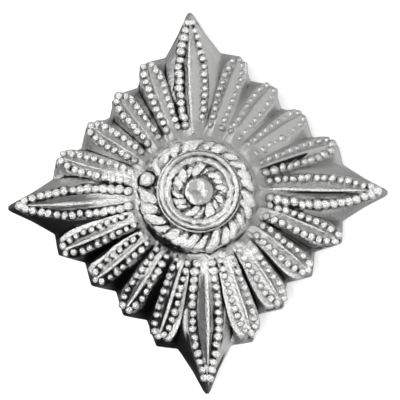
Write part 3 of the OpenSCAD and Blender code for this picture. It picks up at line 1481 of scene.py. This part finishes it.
    def below_lip(self) -> np.ndarray:
        """Measures how far places lie below the lip of their ray: the flanks and ray ends.

        Returns:
            Millimetres for every vertex.
        """
        layout = self.layout
        turn = np.degrees(np.arctan2(self.places[:, 0], self.places[:, 1])) - layout.swirl
        nearest = np.rint(turn * layout.rays / 360).astype(int) % layout.rays
        depth = np.zeros(len(self.places))
        for ray in range(layout.rays):
            mine = nearest == ray
            along, across = self.on_ray(ray, self.places[mine])
            table = layout.sections(ray)
            stops = [section.at for section in table]
            drop = np.interp(along, stops, [section.shoulder_drop for section in table])
            inner, outer = (layout.crest(ray, at).z for at in (layout.fade_in_share, stops[-1]))
            share = (along - layout.fade_in_share) / (stops[-1] - layout.fade_in_share)
            depth[mine] = inner + (outer - inner) * share - drop - self.places[mine][:, 2]
            if layout.is_point(ray):
                shoulder = np.interp(along, stops, [section.shoulder for section in table])
                depth[mine] = np.maximum(depth[mine], 2 * (np.abs(across) - shoulder))
        return depth

    def lens_shade(self, lens: Lens) -> np.ndarray:
        """How dark one lens-shaped field of painted shade makes places.

        Args:
            lens: The field.

        Returns:
            Its darkness for every vertex.
        """
        along, across = self.on_ray(lens.ray, self.places)
        middle, half = (lens.start + lens.end) / 2, (lens.end - lens.start) / 2
        limit = lens.width * np.sqrt(np.clip(1 - ((along - middle) / half) ** 2, 0, 1))
        inside = ramp(limit - np.abs(across), 0, self.lens_fade)
        foot = self.point_foot if self.layout.is_point(lens.ray) else self.small_foot
        from_ridge = across + self.layout.ridge_shift(lens.ray, foot)
        off_ridge = ramp(np.abs(from_ridge), *self.ridge_clear)
        return lens.tone * inside * off_ridge * (from_ridge * lens.hand >= 0)

    def painted_shades(self) -> np.ndarray:
        """Adds up the painted shade: flanks, lenses, arcs and the shade round the drop.

        Returns:
            Its darkness for every vertex.
        """
        # Painted shade on the flanks below the lips, by sector
        flank = ramp(self.below_lip(), *self.flank_depths) * ~self.on_foot * (self.level > self.flank_level)
        near, far = self.flank_shade_radii
        outward = np.clip(self.flank_shade_inner + (self.radius - near) / (far - near), self.flank_shade_inner, 1)
        flank_shade = np.maximum(self.at_lower_left * outward, self.flank_shade_right * self.at_right) * flank
        # Lens-shaped painted shade beside the ridges; all of it is kept off the beads' tops
        painted_shade = np.maximum(flank_shade, sum(self.lens_shade(lens) for lens in self.lenses)) * self.clear
        # Painted shadow and painted shade in arcs round the boss
        for arc in self.arcs:
            inside = ramp(arc.half_width - np.abs(self.radius - arc.radius), 0, self.arc_fade)
            painted_shade = np.maximum(painted_shade, arc.tone * inside * arc.sector.share(self.places))
        # Painted shade in a ring round the drop
        off_shade = np.abs(self.from_drop - self.drop_shade_middle) / self.drop_shade_reach
        return np.maximum(painted_shade, self.drop_shade_tone * np.clip(1 - off_shade, 0, 1))

    def hidden(self) -> np.ndarray:
        """Finds the painted shade of the crevices, which is painted weaker in the boss and at the right,
        upper right, lower right and upper left.

        Returns:
            The hidden share for every vertex.
        """
        # Share by which the painted shade in the crevices is weakened in the lighter sectors
        worn = self.crevice_loss * np.maximum.reduce([self.at_right, self.even_lit, self.at_lower_right])
        loss = np.maximum(worn, self.crevice_loss_upper_left * self.at_upper_left)
        return crevices(self.body) * np.where(self.in_boss, self.boss_crevice, 1 - loss)

    def seams(self) -> np.ndarray:
        """Finds how deep the seams are, and how dark the painted shade in them is.

        Returns:
            A depth for every vertex, below zero where it stands proud.
        """
        # Strength of the painted seam shade: weaker at the upper right, upper left, right and lower right,
        # stronger in the lower left core, and weaker in the boss and on its foot
        struck = 1 - self.seam_loss_even_lit * self.even_lit - self.seam_loss_upper_left * self.at_upper_left
        struck += self.seam_gain_core * self.lower_left_core.share(self.places)
        struck -= self.seam_loss_right * np.maximum(self.at_right, self.at_lower_right)
        outside = np.where(self.on_foot, self.seam_on_foot, 1)
        struck *= np.where(self.in_boss, self.seam_in_boss, outside)
        off_rim = ramp(self.places[:, 2] - self.layout.rim, *self.seam_off_rim)
        depth = -self.heights.above(self.places, self.seam_width) / self.seam_height
        return depth * off_rim * struck * self.clear

    def boss(self) -> np.ndarray:
        """Finds how polished the ropes and plain rings round the button are, with a painted highlight on
        the boss's upper left and painted highlights on the plain ring at two bearings.

        Returns:
            How polished every vertex is, painted highlights included, zero outside the boss.
        """
        # Worn brightness of the boss, with a painted highlight on its upper left side
        lit = self.boss_polish + self.boss_light_polish * self.boss_light.share(self.places)
        rise = self.heights.above(self.places, self.boss_width) / self.boss_height
        boss = np.where(self.in_boss & (self.radius > self.button_radius), lit + rise, 0)
        near_ring = np.abs(self.radius - self.ring_radius) < self.ring_half_width
        on_ring = (self.places[:, 2] > self.ring_above) & near_ring
        edge = np.clip(1 - np.abs(self.radius - self.ring_edge) / self.ring_edge_width, 0, 1)
        # Painted highlights on the plain ring at two bearings
        lights = [tone * sector.share(self.places) for sector, tone in self.ring_lights]
        limit = self.ring_polish * (self.ring_least + np.maximum.reduce([edge, *lights]))
        return np.where(on_ring, np.minimum(boss, limit), boss)

    def polish_and_highlight(self) -> np.ndarray:
        """Adds up what is polished, with the painted highlights: beads, ridges, boss, highlight spots and
        the drop.

        Returns:
            How polished every vertex is, painted highlights included.
        """
        ridge = np.clip(self.heights.above(self.places, self.ridge_width) / self.ridge_height, 0, 1)
        ridge *= ~self.in_boss
        ridge *= 1 - self.ridge_loss_even_lit * self.even_lit - self.ridge_loss_upper_left * self.at_upper_left
        beads = (1 - self.from_bead / self.bead_polish) * (1 - self.bead_loss_even_lit * self.even_lit)
        polish_and_highlight = np.maximum.reduce([beads, self.boss(), self.ridge_polish * ridge])
        # Painted highlights on the lit points, kept off the boss
        for spot in self.highlight_spots:
            near = 1 - spot.distance(self.places) / spot.size
            polish_and_highlight = np.maximum(polish_and_highlight, self.highlight_spot_strength * near * ~self.in_boss)
        return np.where(self.from_drop < self.drop_inside, self.drop_polish, polish_and_highlight)

    def mark(self) -> None:
        """Stores every layer of worn brightness, painted highlight and painted shade on the body, under the
        name that the finishes read.
        """
        face = self.level > self.face_level
        # Painted shade of the flanks, lenses, arcs and round the drop
        store(self.body, "painted_shade", self.painted_shades() * face)
        # Painted shade in the crevices
        store(self.body, "crevice_shade", self.hidden())
        # Painted shade in the seams
        store(self.body, "seam_shade", self.seams())
        # Worn brightness, with the painted highlights
        store(self.body, "polish_and_highlight", self.polish_and_highlight() * face)
        # The upper right sector, toned as evenly lit
        store(self.body, "even_lit", self.even_lit)


@dataclass
class StruckStar:
    """The star itself: rays, beads, boss and back, fused into one struck piece."""

    layout: StarLayout
    dents: Dents = Dents(0.02, 0.55, 1)
    ropes: tuple[RopeRing, ...] = (
        RopeRing("outer_rope", radius=2.62, height=2.06, core=0.78, strands=27, thickness=0.58,
                 slant=18, wrap=84, seed=3, centre=ROPE_CENTRE, left_out=(21,)),
        RopeRing("inner_rope", radius=1.28, height=2.22, core=0.62, strands=16, thickness=0.54,
                 slant=30, wrap=80, seed=5),
    )
    sharp_above: float = 42.0

    def build(self) -> Piece:
        """Builds and fuses every form of the star, and marks its worn spots, painted highlights and painted
        shade.

        Returns:
            The finished star.
        """
        body = roughen(RayRelief(self.layout).build(), self.dents)
        boss = Boss()
        combine(body, [boss.foot(), boss.floor()], Cut.FUSE)
        pieces = boss.build()
        for rope in self.ropes:
            pieces += rope.build()
        combine(body, pieces, Cut.FUSE)
        rows = BeadRows(self.layout)
        combine(body, [rows.build()], Cut.FUSE)
        back = HollowBack(self.layout)
        combine(body, [back.hollow()], Cut.SUBTRACT)
        combine(body, back.bar(), Cut.FUSE)
        edit(body, weld)
        body.name = body.data.name = "struck_star"
        smooth_shade(body, self.sharp_above)
        WearAndPaintedLight(self.layout, body, rows.tops).mark()
        return body


@dataclass
class SplitPin:
    """A strip of brass folded over the bar, with its two legs bent out flat."""

    width: float
    leg: float
    leg_bottom: float
    top: float
    thickness: float = 0.28
    loop_radius: float = 0.35
    bend_radius: float = 0.2
    bend_steps: int = 6
    loop_steps: int = 16
    sharp_above: float = 35.0

    def build(self) -> Piece:
        """Sweeps the strip's section along one leg, over the loop and down to the other leg.

        Returns:
            The finished pin.
        """
        outer = self.loop_radius + self.thickness
        loop_z = (self.top - outer) * MM
        middle = self.leg_bottom + self.thickness / 2
        corner_y = (outer + self.bend_radius) * MM
        corner_z = (self.leg_bottom + self.thickness + self.bend_radius) * MM
        piece = add(
            bpy.ops.mesh.primitive_plane_add, "folded_pin",
            size=1, rotation=(math.pi / 2, 0, 0), location=(0, -self.leg * MM, middle * MM),
        )
        piece.scale = (self.width * MM, self.thickness * MM, 1)

        def forward(y: float, z: float) -> None:
            """Draws the strip straight on."""
            bpy.ops.mesh.extrude_region_move(TRANSFORM_OT_translate={"value": (0, y, z)})

        def turn(angle: float, y: float, z: float, steps: int) -> None:
            """Bends the strip round a line across it."""
            bpy.ops.mesh.spin(steps=steps, angle=angle, center=(0, y, z), axis=(1, 0, 0))

        rise = loop_z - corner_z
        edit(
            settle(piece),
            keep_outline,
            lambda: forward(self.leg * MM - corner_y, 0),
            lambda: turn(-math.pi / 2, -corner_y, corner_z, self.bend_steps),
            lambda: forward(0, rise),
            lambda: turn(math.pi, 0, loop_z, self.loop_steps),
            lambda: forward(0, -rise),
            lambda: turn(-math.pi / 2, corner_y, corner_z, self.bend_steps),
            lambda: forward(self.leg * MM - corner_y, 0),
            cap_ends,
            face_outwards,
        )
        smooth_shade(piece, self.sharp_above)
        # Painted shade in the pin's crevices
        store(piece, "crevice_shade", crevices(piece))
        return piece


# Finishes: groups that both metals share, and the materials


class Wiring:
    """Adds and links the nodes of one node tree."""

    def __init__(self, tree: bpy.types.NodeTree) -> None:
        """Starts on an empty tree."""
        self.tree = tree
        tree.nodes.clear()

    def node(self, kind: str, sockets: dict | None = None, **settings: object) -> bpy.types.Node:
        """Adds a node.

        Args:
            kind: Blender's name for the node's type.
            sockets: A value or another node's output for each input, by name or number.
            settings: Properties of the node.

        Returns:
            The new node.
        """
        node = self.tree.nodes.new(kind)
        for name, value in settings.items():
            setattr(node, name, value)
        for key, value in (sockets or {}).items():
            if isinstance(value, Socket):
                self.tree.links.new(value, node.inputs[key])
            else:
                node.inputs[key].default_value = value
        return node

    def math(self, operation: str, first: object, second: object = 0.0,
             clamp: bool = False) -> Socket:
        """Adds a math node and returns its output."""
        node = self.node("ShaderNodeMath", {0: first, 1: second}, operation=operation, use_clamp=clamp)
        return node.outputs[0]

    def span(self, value: object, low: object, high: object,
             start: object = 0.0, end: object = 1.0) -> Socket:
        """Maps a value smoothly from one range to another and returns the output."""
        return self.node("ShaderNodeMapRange", {
            "Value": value, "From Min": low, "From Max": high, "To Min": start, "To Max": end,
        }, interpolation_type="SMOOTHSTEP").outputs["Result"]


def shared_group(name: str, inputs: dict[str, object], outputs: tuple[str, ...],
                 wire: Callable[[Wiring, Given], dict]) -> bpy.types.NodeTree:
    """Makes a shader group with named sockets.

    Args:
        name: The group's name.
        inputs: Start value of each input; None stands for a vector.
        outputs: Names of the outputs, all plain values.
        wire: Builds the inside and returns a socket for each output.

    Returns:
        The group.
    """
    tree = bpy.data.node_groups.new(name, "ShaderNodeTree")
    for key, value in inputs.items():
        kind = "NodeSocketVector" if value is None else "NodeSocketFloat"
        socket = tree.interface.new_socket(key, in_out="INPUT", socket_type=kind)
        if value is not None:
            socket.default_value = value
    for key in outputs:
        tree.interface.new_socket(key, in_out="OUTPUT", socket_type="NodeSocketFloat")
    wiring = Wiring(tree)
    entry = wiring.node("NodeGroupInput")
    made = wire(wiring, lambda key: entry.outputs[key])
    wiring.node("NodeGroupOutput", made)
    return tree


def spread_group() -> bpy.types.NodeTree:
    """Makes a mask that follows a value stored on the surface, with its edge broken up by noise.

    Returns:
        The group.
    """

    def wire(wiring: Wiring, given: Given) -> dict:
        """Links the inside of the group.

        Args:
            wiring: The group's nodes.
            given: Finds an input's socket by its name.

        Returns:
            The socket for each output.
        """
        cloud = wiring.node("ShaderNodeTexNoise", {
            "Vector": given("Position"), "Scale": given("Scale"), "Detail": 3.0, "Roughness": 0.6,
        }).outputs["Fac"]
        uneven = wiring.math("MULTIPLY", wiring.math("SUBTRACT", cloud, 0.5), given("Break-up"))
        level = wiring.math("ADD", given("Level"), uneven)
        return {"Mask": wiring.span(level, given("From"), given("To"))}

    return shared_group(
        "spread_mask",
        {"Position": None, "Level": 0.0, "Scale": 1500.0, "Break-up": 0.2, "From": 0.15, "To": 0.5},
        ("Mask",), wire,
    )


def grain_group() -> bpy.types.NodeTree:
    """Makes the fine unevenness of struck metal: soft dents and a finer grain over them.

    Returns:
        The group.
    """

    def wire(wiring: Wiring, given: Given) -> dict:
        """Links the inside of the group.

        Args:
            wiring: The group's nodes.
            given: Finds an input's socket by its name.

        Returns:
            The socket for each output.
        """
        dents = wiring.node("ShaderNodeTexVoronoi", {
            "Vector": given("Position"), "Scale": given("Scale"), "Smoothness": 0.6,
        }, feature="SMOOTH_F1").outputs["Distance"]
        fine = wiring.node("ShaderNodeTexNoise", {
            "Vector": given("Position"), "Scale": wiring.math("MULTIPLY", given("Scale"), 2.5),
            "Detail": 4.0, "Roughness": 0.65,
        }).outputs["Fac"]
        both = wiring.math("ADD", wiring.math("MULTIPLY", dents, given("Dents")),
                           wiring.math("MULTIPLY", fine, given("Grain")))
        return {"Height": both, "Mask": fine}

    return shared_group(
        "struck_grain", {"Position": None, "Scale": 4000.0, "Dents": 0.5, "Grain": 0.5},
        ("Height", "Mask"), wire,
    )


class Spread(NamedTuple):
    """How a layer follows an attribute: where it starts and is full, and how ragged it is."""

    attribute: str
    start: float
    full: float
    ragged: float
    scale: float


class Layer(NamedTuple):
    """One tone of a metal surface."""

    colour: tuple[float, float, float]
    roughness: float
    metallic: float


@dataclass(frozen=True)
class MetalFinish:
    """A struck metal: patina all over, worn bright where it stands proud with painted highlights in that
    bright layer, and painted shade where it is sunk and in marked fields.
    """

    name: str
    patina: Layer
    even_lit: Layer
    worn: Layer
    dark: Layer
    even_lit_zone: Spread
    wear_and_highlight: Spread
    seams: Spread
    crevices: Spread
    painted_shades: Spread
    grain_scale: float
    grain_depth: float
    grain_tone: float = 0.06
    grain_range: tuple[float, float] = (0.3, 0.7)
    relief: tuple[float, float] = (0.45, 0.1)
    worn_relief: float = 2.0

    def mask(self, wiring: Wiring, spread: Spread, place: Socket,
             groups: Groups) -> Socket:
        """Adds the mask of one layer.

        Args:
            wiring: The material's nodes.
            spread: Where the layer lies.
            place: The output with the place on the surface.
            groups: The shared shader groups by name.

        Returns:
            The output with the mask.
        """
        level = wiring.node("ShaderNodeAttribute", attribute_name=spread.attribute).outputs["Fac"]
        return wiring.node("ShaderNodeGroup", {
            "Position": place, "Level": level, "Scale": spread.scale, "Break-up": spread.ragged,
            "From": spread.start, "To": spread.full,
        }, node_tree=groups["spread"]).outputs["Mask"]

    def make(self, groups: Groups) -> bpy.types.Material:
        """Builds the material.

        Args:
            groups: The shared shader groups by name.

        Returns:
            The material.
        """
        material = bpy.data.materials.new(self.name)
        material.use_nodes = True
        wiring = Wiring(material.node_tree)
        place = wiring.node("ShaderNodeTexCoord").outputs["Object"]
        spreads = (self.even_lit_zone, self.wear_and_highlight, self.seams, self.crevices, self.painted_shades)
        masks = [self.mask(wiring, spread, place, groups) for spread in spreads]
        even_lit, worn, seams, crevices, painted_shades = masks
        # Mask of the painted shade in seams, crevices and the marked shade fields
        dark = wiring.math("MAXIMUM", wiring.math("MAXIMUM", seams, crevices), painted_shades)
        grain = wiring.node("ShaderNodeGroup", {
            "Position": place, "Scale": self.grain_scale,
        }, node_tree=groups["grain"])

        def blend(values: list) -> Socket:
            """Lays the tones over each other, each by its own mask.

            Args:
                values: The patina's value, and then those of the upper right's tone, of the worn layer with
                    its painted highlights, and of the painted shade.

            Returns:
                The output with the mixture.
            """
            colour = isinstance(values[0], tuple)
            first, last, out = (6, 7, 2) if colour else (2, 3, 0)
            given = [(*value, 1) if colour else value for value in values]
            made = given[0]
            for cover, tone in zip((even_lit, worn, dark), given[1:]):
                made = wiring.node("ShaderNodeMix", {
                    "Factor": cover, first: made, last: tone,
                }, data_type="RGBA" if colour else "FLOAT").outputs[out]
            return made

        layers = (self.patina, self.even_lit, self.worn, self.dark)
        tone = self.grain_tone
        patchy = wiring.span(grain.outputs["Mask"], *self.grain_range, -tone, tone)
        rough = wiring.math("ADD", blend([layer.roughness for layer in layers]), patchy, clamp=True)
        raised = wiring.math("MULTIPLY", worn, self.worn_relief)
        relief = wiring.math("ADD", wiring.span(even_lit, 0.0, 1.0, *self.relief), raised)
        bump = wiring.node("ShaderNodeBump", {
            "Height": wiring.math("MULTIPLY", grain.outputs["Height"], relief),
            "Distance": self.grain_depth, "Strength": 1.0,
        }).outputs["Normal"]
        surface = wiring.node("ShaderNodeBsdfPrincipled", {
            "Base Color": blend([layer.colour for layer in layers]), "Roughness": rough,
            "Metallic": blend([layer.metallic for layer in layers]), "Normal": bump,
        }).outputs[0]
        wiring.node("ShaderNodeOutputMaterial", {"Surface": surface})
        return material


@dataclass(frozen=True)
class FloorFinish:
    """A plain pale table with a soft paper grain."""

    name: str = "pale_floor"
    lift: float = 0.3
    tones: tuple[float, float] = (0.9, 0.94)
    grain: float = 400.0
    roughness: float = 0.9

    def make(self) -> bpy.types.Material:
        """Builds the material.

        Returns:
            The material.
        """
        material = bpy.data.materials.new(self.name)
        material.use_nodes = True
        wiring = Wiring(material.node_tree)
        place = wiring.node("ShaderNodeTexCoord").outputs["Object"]
        cloud = wiring.node("ShaderNodeTexNoise", {
            "Vector": place, "Scale": self.grain, "Detail": 3.0,
        }).outputs["Fac"]
        low, high = ((tone, tone, tone, 1) for tone in self.tones)
        tone = wiring.node("ShaderNodeMix", {
            "Factor": cloud, 6: low, 7: high,
        }, data_type="RGBA").outputs[2]
        surface = wiring.node("ShaderNodeBsdfPrincipled", {
            "Base Color": tone, "Roughness": self.roughness,
            "Emission Color": tone, "Emission Strength": self.lift,
        }).outputs[0]
        wiring.node("ShaderNodeOutputMaterial", {"Surface": surface})
        return material


# Studio


class Glow(NamedTuple):
    """A soft patch of the room: bearing, rise, the angles where it is full and gone, brightness."""

    name: str
    azimuth: float
    rise: float
    full_within: float
    gone_beyond: float
    radiance: float


class SoftBox(NamedTuple):
    """One soft light: its name, bearing clockwise from the top point, rise, size and brightness."""

    name: str
    azimuth: float
    rise: float
    width: float
    height: float
    radiance: float


@dataclass
class Studio:
    """The floor, the soft lights and the camera at the photograph's angle."""

    distance: float = 0.150
    lean_down: float = 12.0
    lean_left: float = 1.64
    roll: float = -2.68
    focal_pixels: float = 2708.0
    frame_pixels: float = 400.0
    sensor: float = 36.0
    aim_right: float = 0.1
    aim_up: float = 0.056
    light_distance: float = 0.6
    floor_size: float = 1.2
    floor_z: float = -0.02
    ambient: float = 0.72
    least_light: float = 0.02
    glows: tuple[Glow, ...] = (
        Glow("pale_wall_right", 95, 10, 40, 90, 0.3),
        Glow("dark_corner", 212, 0, 45, 75, -0.45),
        Glow("dim_wall_behind", 330, -20, 20, 70, -0.25),
    )
    lights: tuple[SoftBox, ...] = (
        SoftBox("window_left", 255, 47, 1.3, 0.5, 2.3),
    )

    def camera(self) -> Piece:
        """Places the camera and makes it the scene's own.

        Returns:
            The camera.
        """
        alpha, beta, gamma = (math.radians(v) for v in (self.lean_down, self.lean_left, self.roll))
        flat = math.cos(alpha)
        toward = Vector((-math.sin(beta) * flat, -math.sin(alpha), flat * math.cos(beta)))
        toward.normalize()
        level_right = (-toward).cross(Vector((0, 1, 0))).normalized()
        level_up = level_right.cross(-toward)
        right = level_right * math.cos(gamma) + level_up * math.sin(gamma)
        up = level_up * math.cos(gamma) - level_right * math.sin(gamma)
        data = bpy.data.cameras.new("photo_camera")
        data.sensor_width = self.sensor
        data.lens = self.focal_pixels / self.frame_pixels * self.sensor
        data.clip_start = 0.001
        camera = bpy.data.objects.new("photo_camera", data)
        bpy.context.scene.collection.objects.link(camera)
        place = toward * self.distance + (right * self.aim_right + up * self.aim_up) * MM
        turn = Matrix((right, up, toward)).transposed().to_4x4()
        camera.matrix_world = Matrix.Translation(place) @ turn
        bpy.context.scene.camera = camera
        return camera

    def floor(self) -> Piece:
        """Lays the pale floor just under the star.

        Returns:
            The floor.
        """
        floor = settle(add(
            bpy.ops.mesh.primitive_plane_add, "floor",
            size=self.floor_size, location=(0, 0, self.floor_z * MM),
        ))
        floor.data.materials.append(FloorFinish().make())
        floor.visible_glossy = False
        return floor

    def light(self, box: SoftBox) -> Piece:
        """Hangs one soft light, turned to the star.

        Args:
            box: Its sizes and brightness.

        Returns:
            The light.
        """
        data = bpy.data.lights.new(box.name, "AREA")
        data.shape = "RECTANGLE"
        data.size, data.size_y = box.width, box.height
        data.energy = box.radiance * math.pi * box.width * box.height
        lamp = bpy.data.objects.new(box.name, data)
        bpy.context.scene.collection.objects.link(lamp)
        rise = math.radians(box.rise)
        flat = self.light_distance * math.cos(rise)
        lamp.location = polar(flat, box.azimuth, self.light_distance * math.sin(rise))
        lamp.rotation_euler = lamp.location.to_track_quat("Z", "Y").to_euler()
        return lamp

    def world(self) -> None:
        """Sets the even light of a white room."""
        world = bpy.data.worlds.new("room")
        world.use_nodes = True
        wiring = Wiring(world.node_tree)
        way = wiring.node("ShaderNodeTexCoord").outputs["Generated"]
        total = self.ambient
        for patch in self.glows:
            flat = math.cos(math.radians(patch.rise))
            axis = polar(flat, patch.azimuth, math.sin(math.radians(patch.rise)))
            facing = wiring.node("ShaderNodeVectorMath", {0: way, 1: axis}, operation="DOT_PRODUCT")
            full, gone = (math.cos(math.radians(angle)) for angle in (patch.full_within, patch.gone_beyond))
            glow = wiring.span(facing.outputs["Value"], gone, full, 0.0, patch.radiance)
            total = wiring.math("ADD", glow, total)
        strength = wiring.math("MAXIMUM", total, self.least_light)
        glow = wiring.node("ShaderNodeBackground", {"Color": (1, 1, 1, 1), "Strength": strength}).outputs[0]
        wiring.node("ShaderNodeOutputWorld", {"Surface": glow})
        bpy.context.scene.world = world

    def build(self) -> None:
        """Sets up the whole studio."""
        self.world()
        self.floor()
        for box in self.lights:
            self.light(box)
        self.camera()
        bpy.context.scene.view_settings.view_transform = "Standard"
        bpy.context.scene.view_settings.look = "None"


SILVER = MetalFinish(
    "silvered_metal",
    patina=Layer((0.49, 0.49, 0.486), 0.28, 1.0),
    # Tone of the upper right: a duller copy of the silver, matched to how that side is lit
    even_lit=Layer((0.46, 0.46, 0.456), 0.42, 1.0),
    # Worn silver; the same bright layer also paints the highlights
    worn=Layer((0.98, 0.98, 0.97), 0.2, 1.0),
    # Painted shade
    dark=Layer((0.018, 0.018, 0.018), 0.5, 1.0),
    even_lit_zone=Spread("even_lit", 0.1, 0.9, 0.3, 900.0),
    wear_and_highlight=Spread("polish_and_highlight", 0.0, 0.5, 0.55, 4200.0),
    seams=Spread("seam_shade", 0.47, 1.05, 0.2, 2500.0),
    crevices=Spread("crevice_shade", 0.74, 1.02, 0.15, 1500.0),
    painted_shades=Spread("painted_shade", 0.06, 0.86, 0.12, 2500.0),
    grain_scale=8000.0, grain_depth=0.06 * MM,
)
BRASS = MetalFinish(
    "pin_brass",
    patina=Layer((0.62, 0.44, 0.2), 0.36, 1.0),
    even_lit=Layer((0.7, 0.52, 0.26), 0.34, 1.0),
    worn=Layer((0.86, 0.66, 0.34), 0.26, 1.0),
    # Painted shade in the pin's crevices
    dark=Layer((0.08, 0.055, 0.03), 0.6, 0.4),
    even_lit_zone=Spread("even_lit", 0.1, 0.9, 0.3, 900.0),
    wear_and_highlight=Spread("polish_and_highlight", 0.2, 0.8, 0.4, 2000.0),
    seams=Spread("seam_shade", 0.4, 0.9, 0.3, 2500.0),
    crevices=Spread("crevice_shade", 0.35, 0.7, 0.15, 1500.0),
    painted_shades=Spread("painted_shade", 0.1, 1.0, 0.1, 2500.0),
    grain_scale=3000.0, grain_depth=0.008 * MM,
)


def hand_over(piece: Piece, node: str, material: bpy.types.Material) -> None:
    """Dresses a finished piece and ties it to the frame.

    Args:
        piece: The finished piece.
        node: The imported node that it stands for.
        material: Its material.
    """
    piece.data.materials.clear()
    piece.data.materials.append(material)
    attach(piece, "root")
    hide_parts(node)
    LOG.info("%s: %d faces", piece.name, len(piece.data.polygons))


def main() -> None:
    """Builds the star, its pin and the studio, and reports each piece."""
    logging.basicConfig(level=logging.INFO, format="%(name)s: %(message)s")
    groups = {"spread": spread_group(), "grain": grain_group()}
    low, high = (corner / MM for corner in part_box("star"))
    layout = StarLayout(reach_x=(high.x - low.x) / 2, reach_y=(high.y - low.y) / 2)
    hand_over(StruckStar(layout).build(), "star", SILVER.make(groups))
    low, high = (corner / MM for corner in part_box("split_pin"))
    pin = SplitPin(width=high.x - low.x, leg=high.y, leg_bottom=low.z, top=high.z).build()
    hand_over(pin, "split_pin", BRASS.make(groups))
    Studio().build()


if __name__ == "__main__":
    main()
